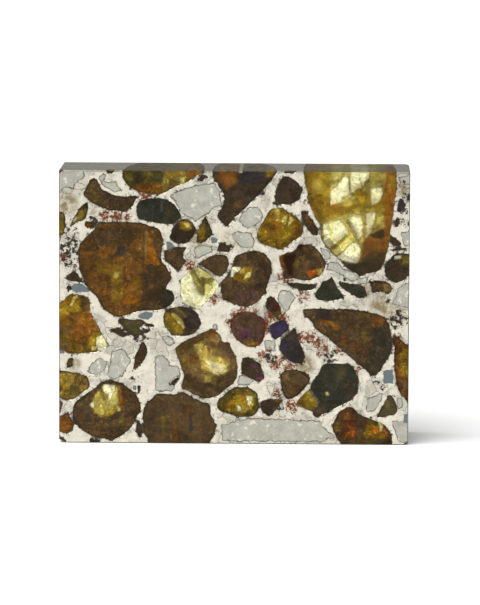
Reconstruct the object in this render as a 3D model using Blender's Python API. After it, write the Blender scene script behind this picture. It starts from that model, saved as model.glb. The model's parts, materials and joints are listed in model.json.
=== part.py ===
"""A cut and polished block of pallasite meteorite.

One sponge of iron-nickel holds olivine crystals in pockets of their own shape.
The saw went through both, so every crystal that meets a face ends flush with it.

Lengths are written in millimetres. +X runs along the block, +Y from its polished
front to its back, +Z up. The origin is the middle of the underside.
"""

from dataclasses import dataclass

import bmesh
import bpy
from mathutils import Vector

MILLIMETRE = 0.001

BLOCK_WIDTH = 90.0
BLOCK_THICKNESS = 22.0
BLOCK_HEIGHT = 70.6
EDGE_CHAMFER = 0.3

POCKET_GAP = 0.3
SAW_OVERRUN = 1.5
# Share of its reach at which a crystal starts to narrow faster.
WAIST_DEPTH = 0.55
# A sharp corner of a pocket is drawn out at most this many gaps.
LONGEST_MITRE = 2.0

THROUGH = BLOCK_THICKNESS + SAW_OVERRUN

# Chips at corners of the block: the three points that each break passes through.
LEFT, RIGHT = -BLOCK_WIDTH / 2, BLOCK_WIDTH / 2
FRONT, BACK = -BLOCK_THICKNESS / 2, BLOCK_THICKNESS / 2
TOP = BLOCK_HEIGHT
CORNER_CHIPS = (
    ((LEFT, FRONT, 0.9), (LEFT + 2.6, FRONT, 0.0), (LEFT, FRONT + 6.0, 0.0)),
    ((RIGHT, FRONT, 1.3), (RIGHT - 1.4, FRONT, 0.0), (RIGHT, FRONT + 4.0, 0.0)),
    ((RIGHT, BACK, TOP - 1.0), (RIGHT - 0.9, BACK, TOP), (RIGHT, BACK - 3.0, TOP)),
    ((LEFT, FRONT, TOP - 0.7), (LEFT + 0.8, FRONT, TOP), (LEFT, FRONT + 2.0, TOP)),
)

# Base colour, roughness and metallic value of each material.
FINISHES = {
    "iron_nickel": ((0.72, 0.71, 0.67), 0.28, 1.0),
    "olivine_dark": ((0.045, 0.032, 0.022), 0.12, 0.0),
    "olivine_brown": ((0.13, 0.065, 0.025), 0.12, 0.0),
    "olivine_amber": ((0.38, 0.19, 0.03), 0.1, 0.0),
    "olivine_yellow": ((0.72, 0.62, 0.2), 0.08, 0.0),
}


@dataclass(frozen=True)
class Crystal:
    """One olivine crystal, drawn where the saw cut it.

    The outline is (x, z) on the face that it is named for. The crystal runs from
    that face to its reach behind it, where it is far_size times as large and its
    middle has moved by far_shift.
    """

    name: str
    finish: str
    reach: float
    far_size: float
    far_shift: tuple
    outline: tuple
    from_back: bool = False


CRYSTALS = (
    Crystal("olivine_top_amber", "olivine_amber", THROUGH, 0.75, (2.0, 1.5), (
        (-28.6, 74), (-28.7, 68.5), (-26.9, 66.3), (-24.8, 65.0), (-21.9, 64.7),
        (-18.4, 64.7), (-16.0, 66.0), (-12.2, 67.4), (-10.0, 69.0), (-6.6, 71.5), (-5.4, 74))),
    Crystal("olivine_boomerang", "olivine_brown", 9.0, 0.5, (1.0, 0.5), (
        (-36.9, 68.6), (-35.5, 68.0), (-34.4, 65.9), (-33.4, 64.9), (-30.3, 63.9),
        (-25.2, 63.8), (-25.8, 61.8), (-28.6, 59.8), (-31.4, 59.9), (-34.2, 61.0),
        (-37.0, 62.6), (-38.9, 64.4), (-37.9, 66.9))),
    Crystal("olivine_green_oval", "olivine_dark", 11.0, 0.55, (0.5, -0.5), (
        (-24.8, 61.3), (-22.9, 63.1), (-20.4, 63.7), (-17.9, 63.5), (-15.8, 62.4),
        (-14.4, 60.7), (-14.3, 59.0), (-15.5, 57.3), (-19.0, 57.1), (-22.5, 57.9),
        (-24.5, 58.9))),
    Crystal("olivine_left_sliver", "olivine_yellow", 8.0, 0.6, (0.3, 0.0), (
        (-38.2, 61.9), (-39.3, 61.4), (-40.7, 59.4), (-42.2, 56.4), (-40.5, 56.9),
        (-39.0, 57.5), (-38.2, 59.3), (-37.7, 61.0))),
    Crystal("olivine_great_brown", "olivine_brown", THROUGH, 0.62, (-1.0, -2.5), (
        (-34.8, 57.2), (-23.4, 57.2), (-19.2, 56.0), (-18.1, 53.6), (-18.2, 47.0),
        (-16.4, 44.6), (-15.9, 42.9), (-17.5, 40.1), (-15.7, 39.5), (-15.2, 37.3),
        (-17.8, 35.2), (-24.0, 34.2), (-29.5, 32.9), (-33.6, 34.7), (-38.0, 41.2),
        (-40.0, 45.4), (-40.0, 51.3), (-37.6, 53.7))),
    Crystal("olivine_left_amber", "olivine_amber", THROUGH, 0.8, (1.0, -1.8), (
        (-49.0, 35.0), (-44.3, 36.7), (-42.4, 38.6), (-38.6, 38.4), (-37.2, 37.4),
        (-37.0, 33.6), (-35.2, 30.7), (-34.3, 28.6), (-32.4, 25.8), (-33.0, 24.6),
        (-35.2, 23.8), (-40.0, 23.2), (-42.6, 23.3), (-44.0, 24.3), (-49.0, 24.3))),
    Crystal("olivine_top_dark", "olivine_dark", THROUGH, 0.7, (-0.5, 4.0), (
        (-5.6, 74), (-5.6, 69.0), (-4.5, 67.3), (-2.7, 64.7), (-2.6, 62.4), (-4.0, 59.2),
        (-3.6, 57.7), (-2.0, 56.0), (-0.6, 57.1), (2.0, 59.9), (6.0, 64.0), (9.6, 67.9),
        (11.2, 70.2), (13.0, 74))),
    Crystal("olivine_dark_nut", "olivine_dark", 9.0, 0.55, (0.0, 0.0), (
        (12.6, 69.4), (14.7, 69.0), (16.4, 67.8), (17.3, 66.0), (16.8, 63.3),
        (14.8, 62.3), (11.5, 62.1), (10.4, 63.2), (10.7, 66.6), (11.5, 68.5))),
    Crystal("olivine_great_yellow", "olivine_yellow", THROUGH, 0.92, (-0.3, 0.8), (
        (17.3, 74), (18.0, 69.0), (18.7, 65.6), (18.5, 63.6), (19.5, 61.2), (22.1, 56.1),
        (22.3, 52.6), (24.6, 50.1), (28.1, 47.4), (31.9, 44.2), (36.9, 45.3),
        (38.5, 47.6), (39.4, 51.0), (40.2, 56.0), (41.0, 64.0), (41.6, 74))),
    Crystal("olivine_amber_knuckle", "olivine_amber", THROUGH, 0.7, (0.0, -1.5), (
        (9.2, 60.9), (11.4, 61.3), (13.1, 60.8), (16.2, 58.6), (17.3, 56.2), (16.7, 54.2),
        (13.2, 51.2), (11.2, 50.8), (6.5, 52.2), (5.7, 53.7), (6.3, 56.0))),
    Crystal("olivine_small_ridge", "olivine_brown", 5.0, 0.5, (0.3, 0.4), (
        (17.2, 60.3), (18.7, 60.2), (19.0, 58.9), (20.2, 57.9), (21.4, 55.6), (21.2, 54.1),
        (20.1, 54.2), (18.7, 56.0), (17.6, 58.0))),
    Crystal("olivine_brown_window", "olivine_brown", THROUGH, 0.4, (-1.2, -1.0), (
        (0.4, 49.0), (5.6, 50.2), (8.2, 49.1), (9.6, 47.4), (9.8, 44.5), (8.2, 40.4),
        (7.3, 38.6), (4.6, 36.3), (2.5, 35.6), (-0.6, 36.3), (-3.1, 37.8), (-3.4, 42.4),
        (-1.6, 43.9), (-0.4, 46.6))),
    Crystal("olivine_dark_wing", "olivine_dark", 8.0, 0.5, (-0.2, 0.8), (
        (-9.3, 46.6), (-7.8, 47.4), (-5.7, 48.8), (-3.6, 49.1), (-1.7, 48.7),
        (-1.3, 47.2), (-2.3, 45.0), (-4.1, 44.0), (-8.0, 46.0))),
    Crystal("olivine_pale_window", "olivine_yellow", THROUGH, 0.85, (0.4, -1.6), (
        (-13.6, 43.0), (-12.0, 43.7), (-11.4, 45.1), (-9.9, 45.9), (-8.8, 45.2),
        (-5.1, 42.6), (-4.5, 41.4), (-4.6, 40.0), (-6.9, 37.2), (-9.2, 36.3),
        (-12.8, 36.9), (-13.6, 38.3))),
    Crystal("olivine_yellow_cap", "olivine_amber", THROUGH, 0.45, (0.7, 0.0), (
        (-13.3, 57.9), (-12.2, 58.1), (-10.7, 57.0), (-9.9, 55.5), (-11.1, 53.0),
        (-12.9, 51.7), (-14.7, 51.7), (-16.5, 53.2), (-15.9, 55.4), (-14.7, 56.6))),
    Crystal("olivine_diamond", "olivine_amber", THROUGH, 0.4, (-0.5, -2.0), (
        (-7.4, 58.9), (-6.3, 57.0), (-5.8, 55.4), (-6.0, 54.0), (-7.4, 52.4), (-8.6, 52.1),
        (-9.4, 52.9), (-9.2, 55.0), (-8.5, 57.2))),
    Crystal("olivine_brown_flank", "olivine_brown", 8.0, 0.55, (0.5, 0.0), (
        (-16.9, 49.7), (-15.0, 50.6), (-12.7, 50.4), (-13.1, 48.2), (-12.5, 47.2),
        (-14.2, 45.0), (-15.8, 46.4), (-16.9, 47.8))),
    Crystal("olivine_left_rim", "olivine_brown", 7.0, 0.6, (-0.5, 0.0), (
        (-48.0, 60.0), (-43.9, 59.8), (-43.3, 57.5), (-43.2, 55.3), (-44.3, 53.6),
        (-48.0, 52.8))),
    Crystal("olivine_dark_chip", "olivine_dark", 4.5, 0.5, (0.0, 0.0), (
        (-3.6, 52.1), (-2.7, 52.1), (-2.0, 51.4), (-0.4, 51.2), (-1.1, 50.2),
        (-2.7, 50.0), (-4.0, 50.1), (-4.0, 51.0))),
    Crystal("olivine_rust_eye", "olivine_brown", THROUGH, 0.35, (3.0, -2.4), (
        (11.7, 49.3), (14.6, 50.0), (15.9, 50.5), (16.6, 51.9), (20.0, 51.7), (22.0, 49.9),
        (23.4, 47.6), (23.2, 45.8), (21.8, 43.8), (19.2, 42.7), (16.0, 43.0),
        (12.8, 43.0), (12.8, 45.1), (11.8, 46.9))),
    Crystal("olivine_dark_lens", "olivine_dark", 4.0, 0.6, (0.0, -0.3), (
        (13.5, 41.8), (17.0, 41.7), (21.4, 41.5), (19.8, 40.1), (17.6, 40.1),
        (15.0, 40.9))),
    Crystal("olivine_dark_triangle", "olivine_dark", 8.0, 0.5, (0.0, 0.0), (
        (22.5, 41.1), (25.1, 43.5), (25.8, 42.0), (28.1, 38.2), (24.5, 37.2),
        (21.6, 37.5), (20.8, 38.6), (21.2, 39.8))),
    Crystal("olivine_dark_blade", "olivine_dark", 6.0, 0.5, (0.0, 0.0), (
        (27.3, 42.2), (29.0, 42.0), (33.0, 41.3), (34.4, 39.0), (33.4, 38.0),
        (30.4, 38.9), (27.2, 41.2))),
    Crystal("olivine_brown_bead", "olivine_brown", 6.0, 0.5, (0.0, 0.0), (
        (35.1, 42.2), (36.5, 42.6), (38.8, 42.1), (40.3, 41.2), (40.4, 39.7),
        (39.4, 39.0), (37.6, 39.8), (36.2, 39.5), (35.3, 39.8), (35.0, 41.1))),
    Crystal("olivine_right_dark", "olivine_dark", 12.0, 0.6, (0.5, 0.0), (
        (38.8, 45.0), (39.3, 47.4), (40.5, 49.3), (42.1, 49.8), (44.0, 49.5), (48.0, 48.4),
        (48.0, 44.0), (44.2, 43.7), (42.3, 42.3), (40.5, 42.6), (39.0, 43.7))),
    Crystal("olivine_right_wedge", "olivine_dark", 4.0, 0.6, (0.0, 0.0), (
        (42.1, 63.6), (42.8, 63.7), (43.8, 62.2), (43.2, 61.0), (42.4, 60.3),
        (41.8, 60.8))),
    Crystal("olivine_dark_ledge", "olivine_dark", 6.0, 0.5, (0.0, 0.0), (
        (-29.8, 31.6), (-28.3, 32.0), (-25.0, 32.0), (-23.2, 32.1), (-22.3, 31.4),
        (-23.6, 30.2), (-23.5, 28.6), (-24.6, 27.9), (-26.6, 28.7), (-28.0, 30.1))),
    Crystal("olivine_striped_brown", "olivine_brown", THROUGH, 0.4, (-0.8, -1.8), (
        (-17.0, 34.5), (-13.6, 35.6), (-10.6, 35.1), (-9.0, 33.9), (-8.6, 31.5),
        (-10.4, 28.6), (-15.8, 28.2), (-18.0, 31.0), (-18.1, 33.2))),
    Crystal("olivine_square_yellow", "olivine_amber", THROUGH, 0.7, (0.5, -1.0), (
        (-14.9, 24.5), (-13.3, 26.4), (-10.4, 27.5), (-5.6, 29.9), (-3.7, 28.5),
        (-3.0, 26.7), (-1.2, 26.0), (0.6, 22.0), (1.1, 20.0), (1.0, 17.4), (0.2, 15.8),
        (-3.8, 12.6), (-7.3, 12.0), (-12.0, 14.1), (-13.2, 14.3), (-13.2, 15.5),
        (-12.8, 17.2), (-13.6, 20.5))),
    Crystal("olivine_leaf", "olivine_brown", 6.0, 0.5, (0.0, 0.0), (
        (-23.5, 26.5), (-22.7, 26.0), (-22.3, 24.0), (-23.1, 21.8), (-25.9, 19.1),
        (-25.3, 22.6), (-24.1, 24.9))),
    Crystal("olivine_left_brown", "olivine_amber", 13.0, 0.6, (-1.5, 0.0), (
        (-49.0, 19.1), (-43.0, 18.8), (-39.5, 18.0), (-37.5, 17.3), (-37.0, 15.5),
        (-37.5, 14.3), (-41.5, 11.6), (-42.9, 10.9), (-49.0, 12.9))),
    Crystal("olivine_round_window", "olivine_brown", THROUGH, 0.48, (-0.3, 1.0), (
        (-41.7, 8.4), (-40.7, 11.0), (-36.8, 13.7), (-34.6, 15.5), (-31.9, 16.5),
        (-28.2, 15.2), (-25.3, 12.8), (-24.1, 9.0), (-25.4, 5.8), (-28.3, 2.2),
        (-31.5, 1.1), (-36.0, 1.9), (-40.0, 4.0), (-41.2, 6.2))),
    Crystal("olivine_lower_left", "olivine_brown", 9.0, 0.6, (-0.5, 0.0), (
        (-48.0, 4.8), (-43.2, 7.3), (-42.6, 7.3), (-41.9, 5.3), (-41.5, 3.7),
        (-42.5, 2.6), (-48.0, 2.4))),
    Crystal("olivine_great_dark_foot", "olivine_dark", THROUGH, 0.75, (0.5, -1.0), (
        (-23.5, 8.5), (-22.6, 10.4), (-19.9, 12.8), (-15.0, 12.7), (-12.4, 13.1),
        (-10.6, 11.8), (-6.3, 9.7), (-6.0, 7.6), (-4.6, 4.8), (-5.1, 2.6), (-7.2, -2.5),
        (-22.2, -2.5), (-22.6, 1.0), (-23.4, 3.0))),
    Crystal("olivine_purple_round", "olivine_brown", 10.0, 0.55, (-0.5, 0.0), (
        (0.8, 34.2), (3.1, 34.5), (5.2, 34.1), (7.9, 32.5), (8.4, 30.4), (8.0, 27.9),
        (6.6, 25.6), (3.7, 25.2), (1.2, 26.8), (-0.7, 29.2), (-1.1, 31.2), (-0.5, 33.0))),
    Crystal("olivine_red_tongue", "olivine_brown", 6.0, 0.5, (0.0, 0.0), (
        (9.2, 38.5), (10.3, 37.7), (12.1, 35.3), (12.0, 33.5), (10.7, 33.6),
        (9.3, 34.9), (8.4, 35.7), (8.5, 37.5))),
    Crystal("olivine_violet_tile", "olivine_dark", 6.0, 0.5, (0.0, 0.0), (
        (9.5, 31.0), (12.8, 32.2), (14.0, 30.2), (10.7, 27.4), (9.3, 29.7))),
    Crystal("olivine_violet_slab", "olivine_dark", 8.0, 0.5, (0.0, 0.0), (
        (15.9, 29.8), (12.2, 27.0), (11.8, 24.9), (13.1, 22.8), (15.2, 21.4),
        (17.4, 20.6), (18.2, 22.8), (16.2, 28.0))),
    Crystal("olivine_violet_foot", "olivine_brown", 9.0, 0.5, (0.0, 0.0), (
        (2.3, 22.3), (3.8, 22.7), (6.9, 20.8), (8.0, 17.4), (6.7, 15.9), (5.2, 16.7),
        (2.1, 18.1), (2.0, 20.5))),
    Crystal("olivine_great_right", "olivine_brown", THROUGH, 0.62, (-0.5, 0.5), (
        (18.2, 34.9), (22.0, 35.2), (32.0, 35.0), (36.5, 34.0), (39.2, 32.0), (40.2, 29.0),
        (40.3, 25.0), (40.1, 22.6), (38.4, 20.6), (37.7, 18.8), (36.0, 17.7), (33.1, 20.2),
        (30.0, 22.9), (25.0, 27.2), (22.0, 29.1), (20.4, 30.4), (20.2, 31.6),
        (18.4, 33.4))),
    Crystal("olivine_green_nut", "olivine_dark", 13.0, 0.55, (0.5, 1.0), (
        (23.5, 21.1), (29.6, 20.9), (31.3, 19.0), (32.3, 17.0), (31.7, 13.2), (29.8, 11.1),
        (26.0, 9.6), (22.0, 8.0), (22.7, 11.2), (20.8, 14.4), (20.8, 16.8),
        (22.2, 19.2))),
    Crystal("olivine_rusty_shoulder", "olivine_brown", 10.0, 0.5, (-0.5, 0.5), (
        (11.8, 18.5), (13.4, 19.4), (16.0, 19.5), (18.6, 18.8), (20.0, 17.3), (19.1, 15.4),
        (17.5, 13.5), (15.4, 12.3), (13.8, 12.0), (12.8, 12.9), (12.2, 15.6))),
    Crystal("olivine_yellow_wedge", "olivine_yellow", THROUGH, 0.8, (-0.5, -1.6), (
        (19.2, 14.4), (16.8, 11.6), (16.2, 10.4), (18.3, 9.6), (19.5, 8.9), (21.4, 9.9),
        (21.9, 10.9))),
    Crystal("olivine_golden_eye", "olivine_amber", THROUGH, 0.52, (1.4, -1.8), (
        (-4.1, 9.8), (-3.9, 11.3), (-1.0, 14.0), (1.0, 14.9), (3.0, 14.8), (5.9, 13.3),
        (6.2, 10.0), (5.0, 7.4), (1.0, 7.2), (-2.0, 8.1), (-4.0, 9.1))),
    Crystal("olivine_brown_kite", "olivine_brown", 6.0, 0.5, (0.0, 0.0), (
        (7.3, 11.2), (8.6, 11.7), (12.2, 11.7), (12.0, 10.5), (9.1, 7.2), (7.4, 9.0))),
    Crystal("olivine_foot_amber", "olivine_amber", THROUGH, 0.6, (1.0, -2.5), (
        (25.4, 5.0), (26.9, 8.3), (29.6, 10.0), (32.0, 8.3), (37.2, 6.1), (39.1, 5.0),
        (40.6, 2.6), (41.0, -2.5), (27.6, -2.5), (26.3, 2.2))),
    Crystal("olivine_right_amber", "olivine_amber", 16.0, 0.7, (1.5, 0.0), (
        (48.0, 26.0), (43.3, 26.4), (42.0, 27.9), (41.3, 27.6), (41.2, 24.0), (41.3, 20.0),
        (42.4, 14.8), (43.0, 13.0), (48.0, 9.0))),
    Crystal("olivine_green_shard", "olivine_dark", 4.5, 0.5, (0.0, 0.0), (
        (40.1, 13.0), (41.3, 11.9), (42.1, 9.0), (41.3, 7.7), (37.5, 7.1), (37.1, 7.6),
        (38.4, 10.0))),
    Crystal("olivine_left_triangle", "olivine_dark", 5.0, 0.5, (0.0, 0.0), (
        (-42.5, 42.2), (-42.2, 41.4), (-39.4, 41.4), (-39.9, 42.7), (-41.0, 44.1),
        (-41.7, 43.5))),
    Crystal("olivine_back_upper_left", "olivine_brown", 9.5, 0.5, (0.0, 0.0), (
        (-40.0, 60.0), (-38.8, 65.5), (-34.5, 67.8), (-29.8, 65.0), (-27.5, 58.5),
        (-30.5, 54.0), (-36.5, 53.5)), True),
    Crystal("olivine_back_crown", "olivine_dark", 8.0, 0.5, (0.0, 0.0), (
        (-2.5, 57.5), (2.5, 59.3), (5.6, 55.0), (5.0, 49.8), (-1.0, 48.8),
        (-4.0, 52.5)), True),
    Crystal("olivine_back_middle_left", "olivine_amber", 12.0, 0.5, (0.0, 0.0), (
        (-28.0, 31.0), (-21.5, 33.0), (-17.5, 28.0), (-17.0, 20.0), (-21.5, 15.5),
        (-28.5, 20.0)), True),
    Crystal("olivine_back_middle", "olivine_brown", 9.5, 0.5, (0.0, 0.0), (
        (3.0, 30.0), (8.0, 35.0), (14.0, 32.5), (15.5, 24.0), (10.5, 18.0),
        (4.0, 20.5)), True),
    Crystal("olivine_back_shoulder", "olivine_amber", 9.5, 0.5, (0.0, 0.0), (
        (24.0, 41.5), (30.0, 43.5), (35.5, 40.5), (35.5, 36.5), (29.0, 35.0),
        (23.5, 37.5)), True),
    Crystal("olivine_back_right", "olivine_dark", 10.0, 0.6, (0.5, 0.0), (
        (48.0, 41.0), (42.0, 40.5), (38.5, 36.0), (41.0, 31.5), (48.0, 30.5)), True),
    Crystal("olivine_back_right_top", "olivine_brown", 12.0, 0.6, (0.5, 0.0), (
        (48.0, 66.0), (43.5, 65.5), (42.8, 58.0), (44.0, 54.0), (48.0, 53.5)), True),
    Crystal("olivine_back_foot", "olivine_yellow", 14.0, 0.6, (0.0, -0.8), (
        (8.0, -2.5), (7.0, 3.5), (11.0, 7.5), (16.5, 5.0), (18.0, -2.5)), True),
    Crystal("olivine_back_left", "olivine_brown", 11.0, 0.6, (-0.5, 0.0), (
        (-48.0, 51.5), (-43.0, 51.0), (-39.0, 48.5), (-38.5, 43.5), (-42.5, 41.0),
        (-48.0, 42.0)), True),
)


def signed_area(outline):
    """Twice the outline's area, positive where it runs anticlockwise."""
    after = outline[1:] + outline[:1]
    return sum(here.x * there.y - there.x * here.y for here, there in zip(outline, after))


def outline_at(crystal, depth_share):
    """The crystal's outline at a share of its reach."""
    points = [Vector(point) for point in crystal.outline]
    if signed_area(points) < 0.0:
        points.reverse()
    middle = sum(points, Vector((0.0, 0.0))) / len(points)
    size = 1.0 + (crystal.far_size - 1.0) * depth_share
    shift = Vector(crystal.far_shift) * depth_share
    return [middle + (point - middle) * size + shift for point in points]


def grown(outline, distance):
    """An anticlockwise outline moved outwards by a distance, with its corners kept."""
    moved = []
    for index, here in enumerate(outline):
        before = here - outline[index - 1]
        after = outline[(index + 1) % len(outline)] - here
        first = Vector((before.y, -before.x)).normalized()
        second = Vector((after.y, -after.x)).normalized()
        mitre = (first + second) / (1.0 + first.dot(second))
        if mitre.length > LONGEST_MITRE:
            mitre = mitre.normalized() * LONGEST_MITRE
        moved.append(here + mitre * distance)
    return moved


def loft(crystal, gap):
    """A closed solid along the crystal's depth, larger all round by the gap."""
    start = BACK if crystal.from_back else FRONT
    inwards = -1.0 if crystal.from_back else 1.0
    end_gap = gap if crystal.reach < THROUGH else 0.0
    stations = (
        (-SAW_OVERRUN, 0.0),
        (crystal.reach * WAIST_DEPTH, WAIST_DEPTH ** 2),
        (crystal.reach + end_gap, 1.0),
    )
    mesh = bmesh.new()
    rings = []
    for depth, share in stations:
        y = start + inwards * depth
        points = grown(outline_at(crystal, share), gap)
        places = [Vector((x, y, z)) * MILLIMETRE for x, z in points]
        rings.append([mesh.verts.new(place) for place in places])
    mesh.faces.new(rings[0])
    mesh.faces.new(rings[-1])
    for near, far in zip(rings, rings[1:]):
        for index in range(len(near)):
            mesh.faces.new((near[index - 1], near[index], far[index], far[index - 1]))
    bmesh.ops.recalc_face_normals(mesh, faces=mesh.faces)
    bmesh.ops.triangulate(mesh, faces=mesh.faces)
    return mesh


def sawn_block():
    """The whole block: a box with fine chamfers and a few chipped corners."""
    mesh = bmesh.new()
    bmesh.ops.create_cube(mesh, size=1.0)
    size = Vector((BLOCK_WIDTH, BLOCK_THICKNESS, BLOCK_HEIGHT)) * MILLIMETRE
    bmesh.ops.scale(mesh, verts=mesh.verts, vec=size)
    bmesh.ops.translate(mesh, verts=mesh.verts, vec=(0.0, 0.0, size.z / 2))
    bmesh.ops.bevel(mesh, geom=mesh.edges[:], offset=EDGE_CHAMFER * MILLIMETRE, affect="EDGES",
                    segments=1, profile=0.5, material=-1)
    middle = Vector((0.0, 0.0, size.z / 2))
    for chip in CORNER_CHIPS:
        first, second, third = (Vector(point) * MILLIMETRE for point in chip)
        normal = (second - first).cross(third - first)
        if normal.dot(first - middle) < 0.0:
            normal.negate()
        cut = bmesh.ops.bisect_plane(mesh, geom=mesh.verts[:] + mesh.edges[:] + mesh.faces[:],
                                     plane_co=first, plane_no=normal, clear_outer=True)
        rim = [item for item in cut["geom_cut"] if isinstance(item, bmesh.types.BMEdge)]
        bmesh.ops.contextual_create(mesh, geom=rim)
    bmesh.ops.recalc_face_normals(mesh, faces=mesh.faces)
    bmesh.ops.triangulate(mesh, faces=mesh.faces)
    return mesh


def finish_material(name):
    """A Principled material with one of the finishes."""
    colour, roughness, metallic = FINISHES[name]
    material = bpy.data.materials.new(name)
    material.use_nodes = True
    shader = material.node_tree.nodes["Principled BSDF"]
    shader.inputs["Base Color"].default_value = (*colour, 1.0)
    shader.inputs["Roughness"].default_value = roughness
    shader.inputs["Metallic"].default_value = metallic
    return material


def add_object(name, mesh, collection):
    """Turn a bmesh into an object."""
    data = bpy.data.meshes.new(name)
    mesh.to_mesh(data)
    mesh.free()
    solid = bpy.data.objects.new(name, data)
    collection.objects.link(solid)
    return solid


def add_cutter(name, mesh, collection):
    """An object that only shapes others."""
    cutter = add_object(name, mesh, collection)
    cutter.hide_render = True
    cutter.display_type = "WIRE"
    return cutter


def main():
    """Build the block, its pockets and the crystals in them."""
    for old in list(bpy.data.objects):
        bpy.data.objects.remove(old, do_unlink=True)
    scene = bpy.context.scene
    pockets = bpy.data.collections.new("pockets")
    scene.collection.children.link(pockets)
    materials = {name: finish_material(name) for name in FINISHES}

    block = add_cutter("sawn_block", sawn_block(), scene.collection)
    for crystal in CRYSTALS:
        solid = add_object(crystal.name, loft(crystal, 0.0), scene.collection)
        solid.data.materials.append(materials[crystal.finish])
        cut = solid.modifiers.new("sawn flush", "BOOLEAN")
        cut.operation = "INTERSECT"
        cut.object = block
        add_cutter("pocket_of_" + crystal.name, loft(crystal, POCKET_GAP), pockets)

    matrix = add_object("iron_nickel_matrix", sawn_block(), scene.collection)
    matrix.data.materials.append(materials["iron_nickel"])
    hollow = matrix.modifiers.new("pockets", "BOOLEAN")
    hollow.operation = "DIFFERENCE"
    hollow.operand_type = "COLLECTION"
    hollow.collection = pockets


main()
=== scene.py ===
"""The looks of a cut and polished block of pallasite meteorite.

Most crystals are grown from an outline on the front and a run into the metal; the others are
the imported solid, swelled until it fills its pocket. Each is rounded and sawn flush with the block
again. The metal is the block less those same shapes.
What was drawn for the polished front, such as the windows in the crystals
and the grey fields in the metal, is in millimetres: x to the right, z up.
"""

from __future__ import annotations

import json
import logging
import math
from dataclasses import dataclass, field
from enum import Enum

import bmesh
import bpy
import numpy as np
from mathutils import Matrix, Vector, noise
from mathutils.bvhtree import BVHTree

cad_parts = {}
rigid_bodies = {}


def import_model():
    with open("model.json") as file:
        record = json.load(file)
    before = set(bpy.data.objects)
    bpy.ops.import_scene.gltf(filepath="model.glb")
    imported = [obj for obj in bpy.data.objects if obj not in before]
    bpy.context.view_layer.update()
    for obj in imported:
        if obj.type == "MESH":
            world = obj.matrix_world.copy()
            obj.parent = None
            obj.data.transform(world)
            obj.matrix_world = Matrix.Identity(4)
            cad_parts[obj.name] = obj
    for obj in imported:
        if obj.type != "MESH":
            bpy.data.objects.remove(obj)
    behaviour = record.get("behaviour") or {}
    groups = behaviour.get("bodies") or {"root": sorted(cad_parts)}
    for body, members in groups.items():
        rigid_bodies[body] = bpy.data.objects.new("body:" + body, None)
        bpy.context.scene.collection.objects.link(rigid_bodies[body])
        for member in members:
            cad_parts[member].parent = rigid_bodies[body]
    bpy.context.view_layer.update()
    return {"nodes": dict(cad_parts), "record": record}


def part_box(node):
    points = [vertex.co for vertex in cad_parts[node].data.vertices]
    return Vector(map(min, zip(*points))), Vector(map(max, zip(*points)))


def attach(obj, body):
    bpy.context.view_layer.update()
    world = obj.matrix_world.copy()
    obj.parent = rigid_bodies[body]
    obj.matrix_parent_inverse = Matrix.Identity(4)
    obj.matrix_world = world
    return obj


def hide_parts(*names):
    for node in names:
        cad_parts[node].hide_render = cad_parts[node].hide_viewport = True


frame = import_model()

MM = 0.001
LOG = logging.getLogger("pallasite")

Outline = tuple[tuple[float, float], ...]


class Hue(Enum):
    """Colours named as they look under white light, in display values."""

    # The next two hues are partly the clear stone and partly painted light: backlight shining through the windows, and
    # painted highlights and glints.
    PALE_LIGHT = (252, 250, 212)
    LEMON_LIGHT = (228, 220, 134)
    STRAW = (188, 170, 84)
    GOLD = (156, 130, 34)
    AMBER = (130, 100, 22)
    HONEY = (140, 88, 22)
    ORANGE = (166, 88, 18)
    CINNAMON = (112, 70, 26)
    RUST = (96, 46, 24)
    OXBLOOD = (44, 18, 10)
    RUSSET = (96, 67, 30)
    BROWN = (80, 62, 40)
    UMBER = (58, 47, 36)
    KHAKI = (152, 126, 58)
    TAN = (128, 104, 66)
    OLIVE = (98, 86, 34)
    MOSS = (72, 66, 42)
    GREEN_BLACK = (46, 47, 39)
    BLUE_BLACK = (48, 44, 44)
    SLATE = (78, 80, 76)
    MAUVE = (86, 62, 54)
    PURPLE = (80, 44, 68)
    VIOLET = (52, 44, 72)

    @property
    def linear(self) -> np.ndarray:
        """The colour in scene values."""
        share = np.array(self.value) / 255.0
        return np.where(share <= 0.04045, share / 12.92, ((share + 0.055) / 1.055) ** 2.4)


class Slot(Enum):
    """The record's material slots."""

    METAL = "iron_nickel"
    DARK = "olivine_dark"
    BROWN = "olivine_brown"
    AMBER = "olivine_amber"
    YELLOW = "olivine_yellow"


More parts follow.
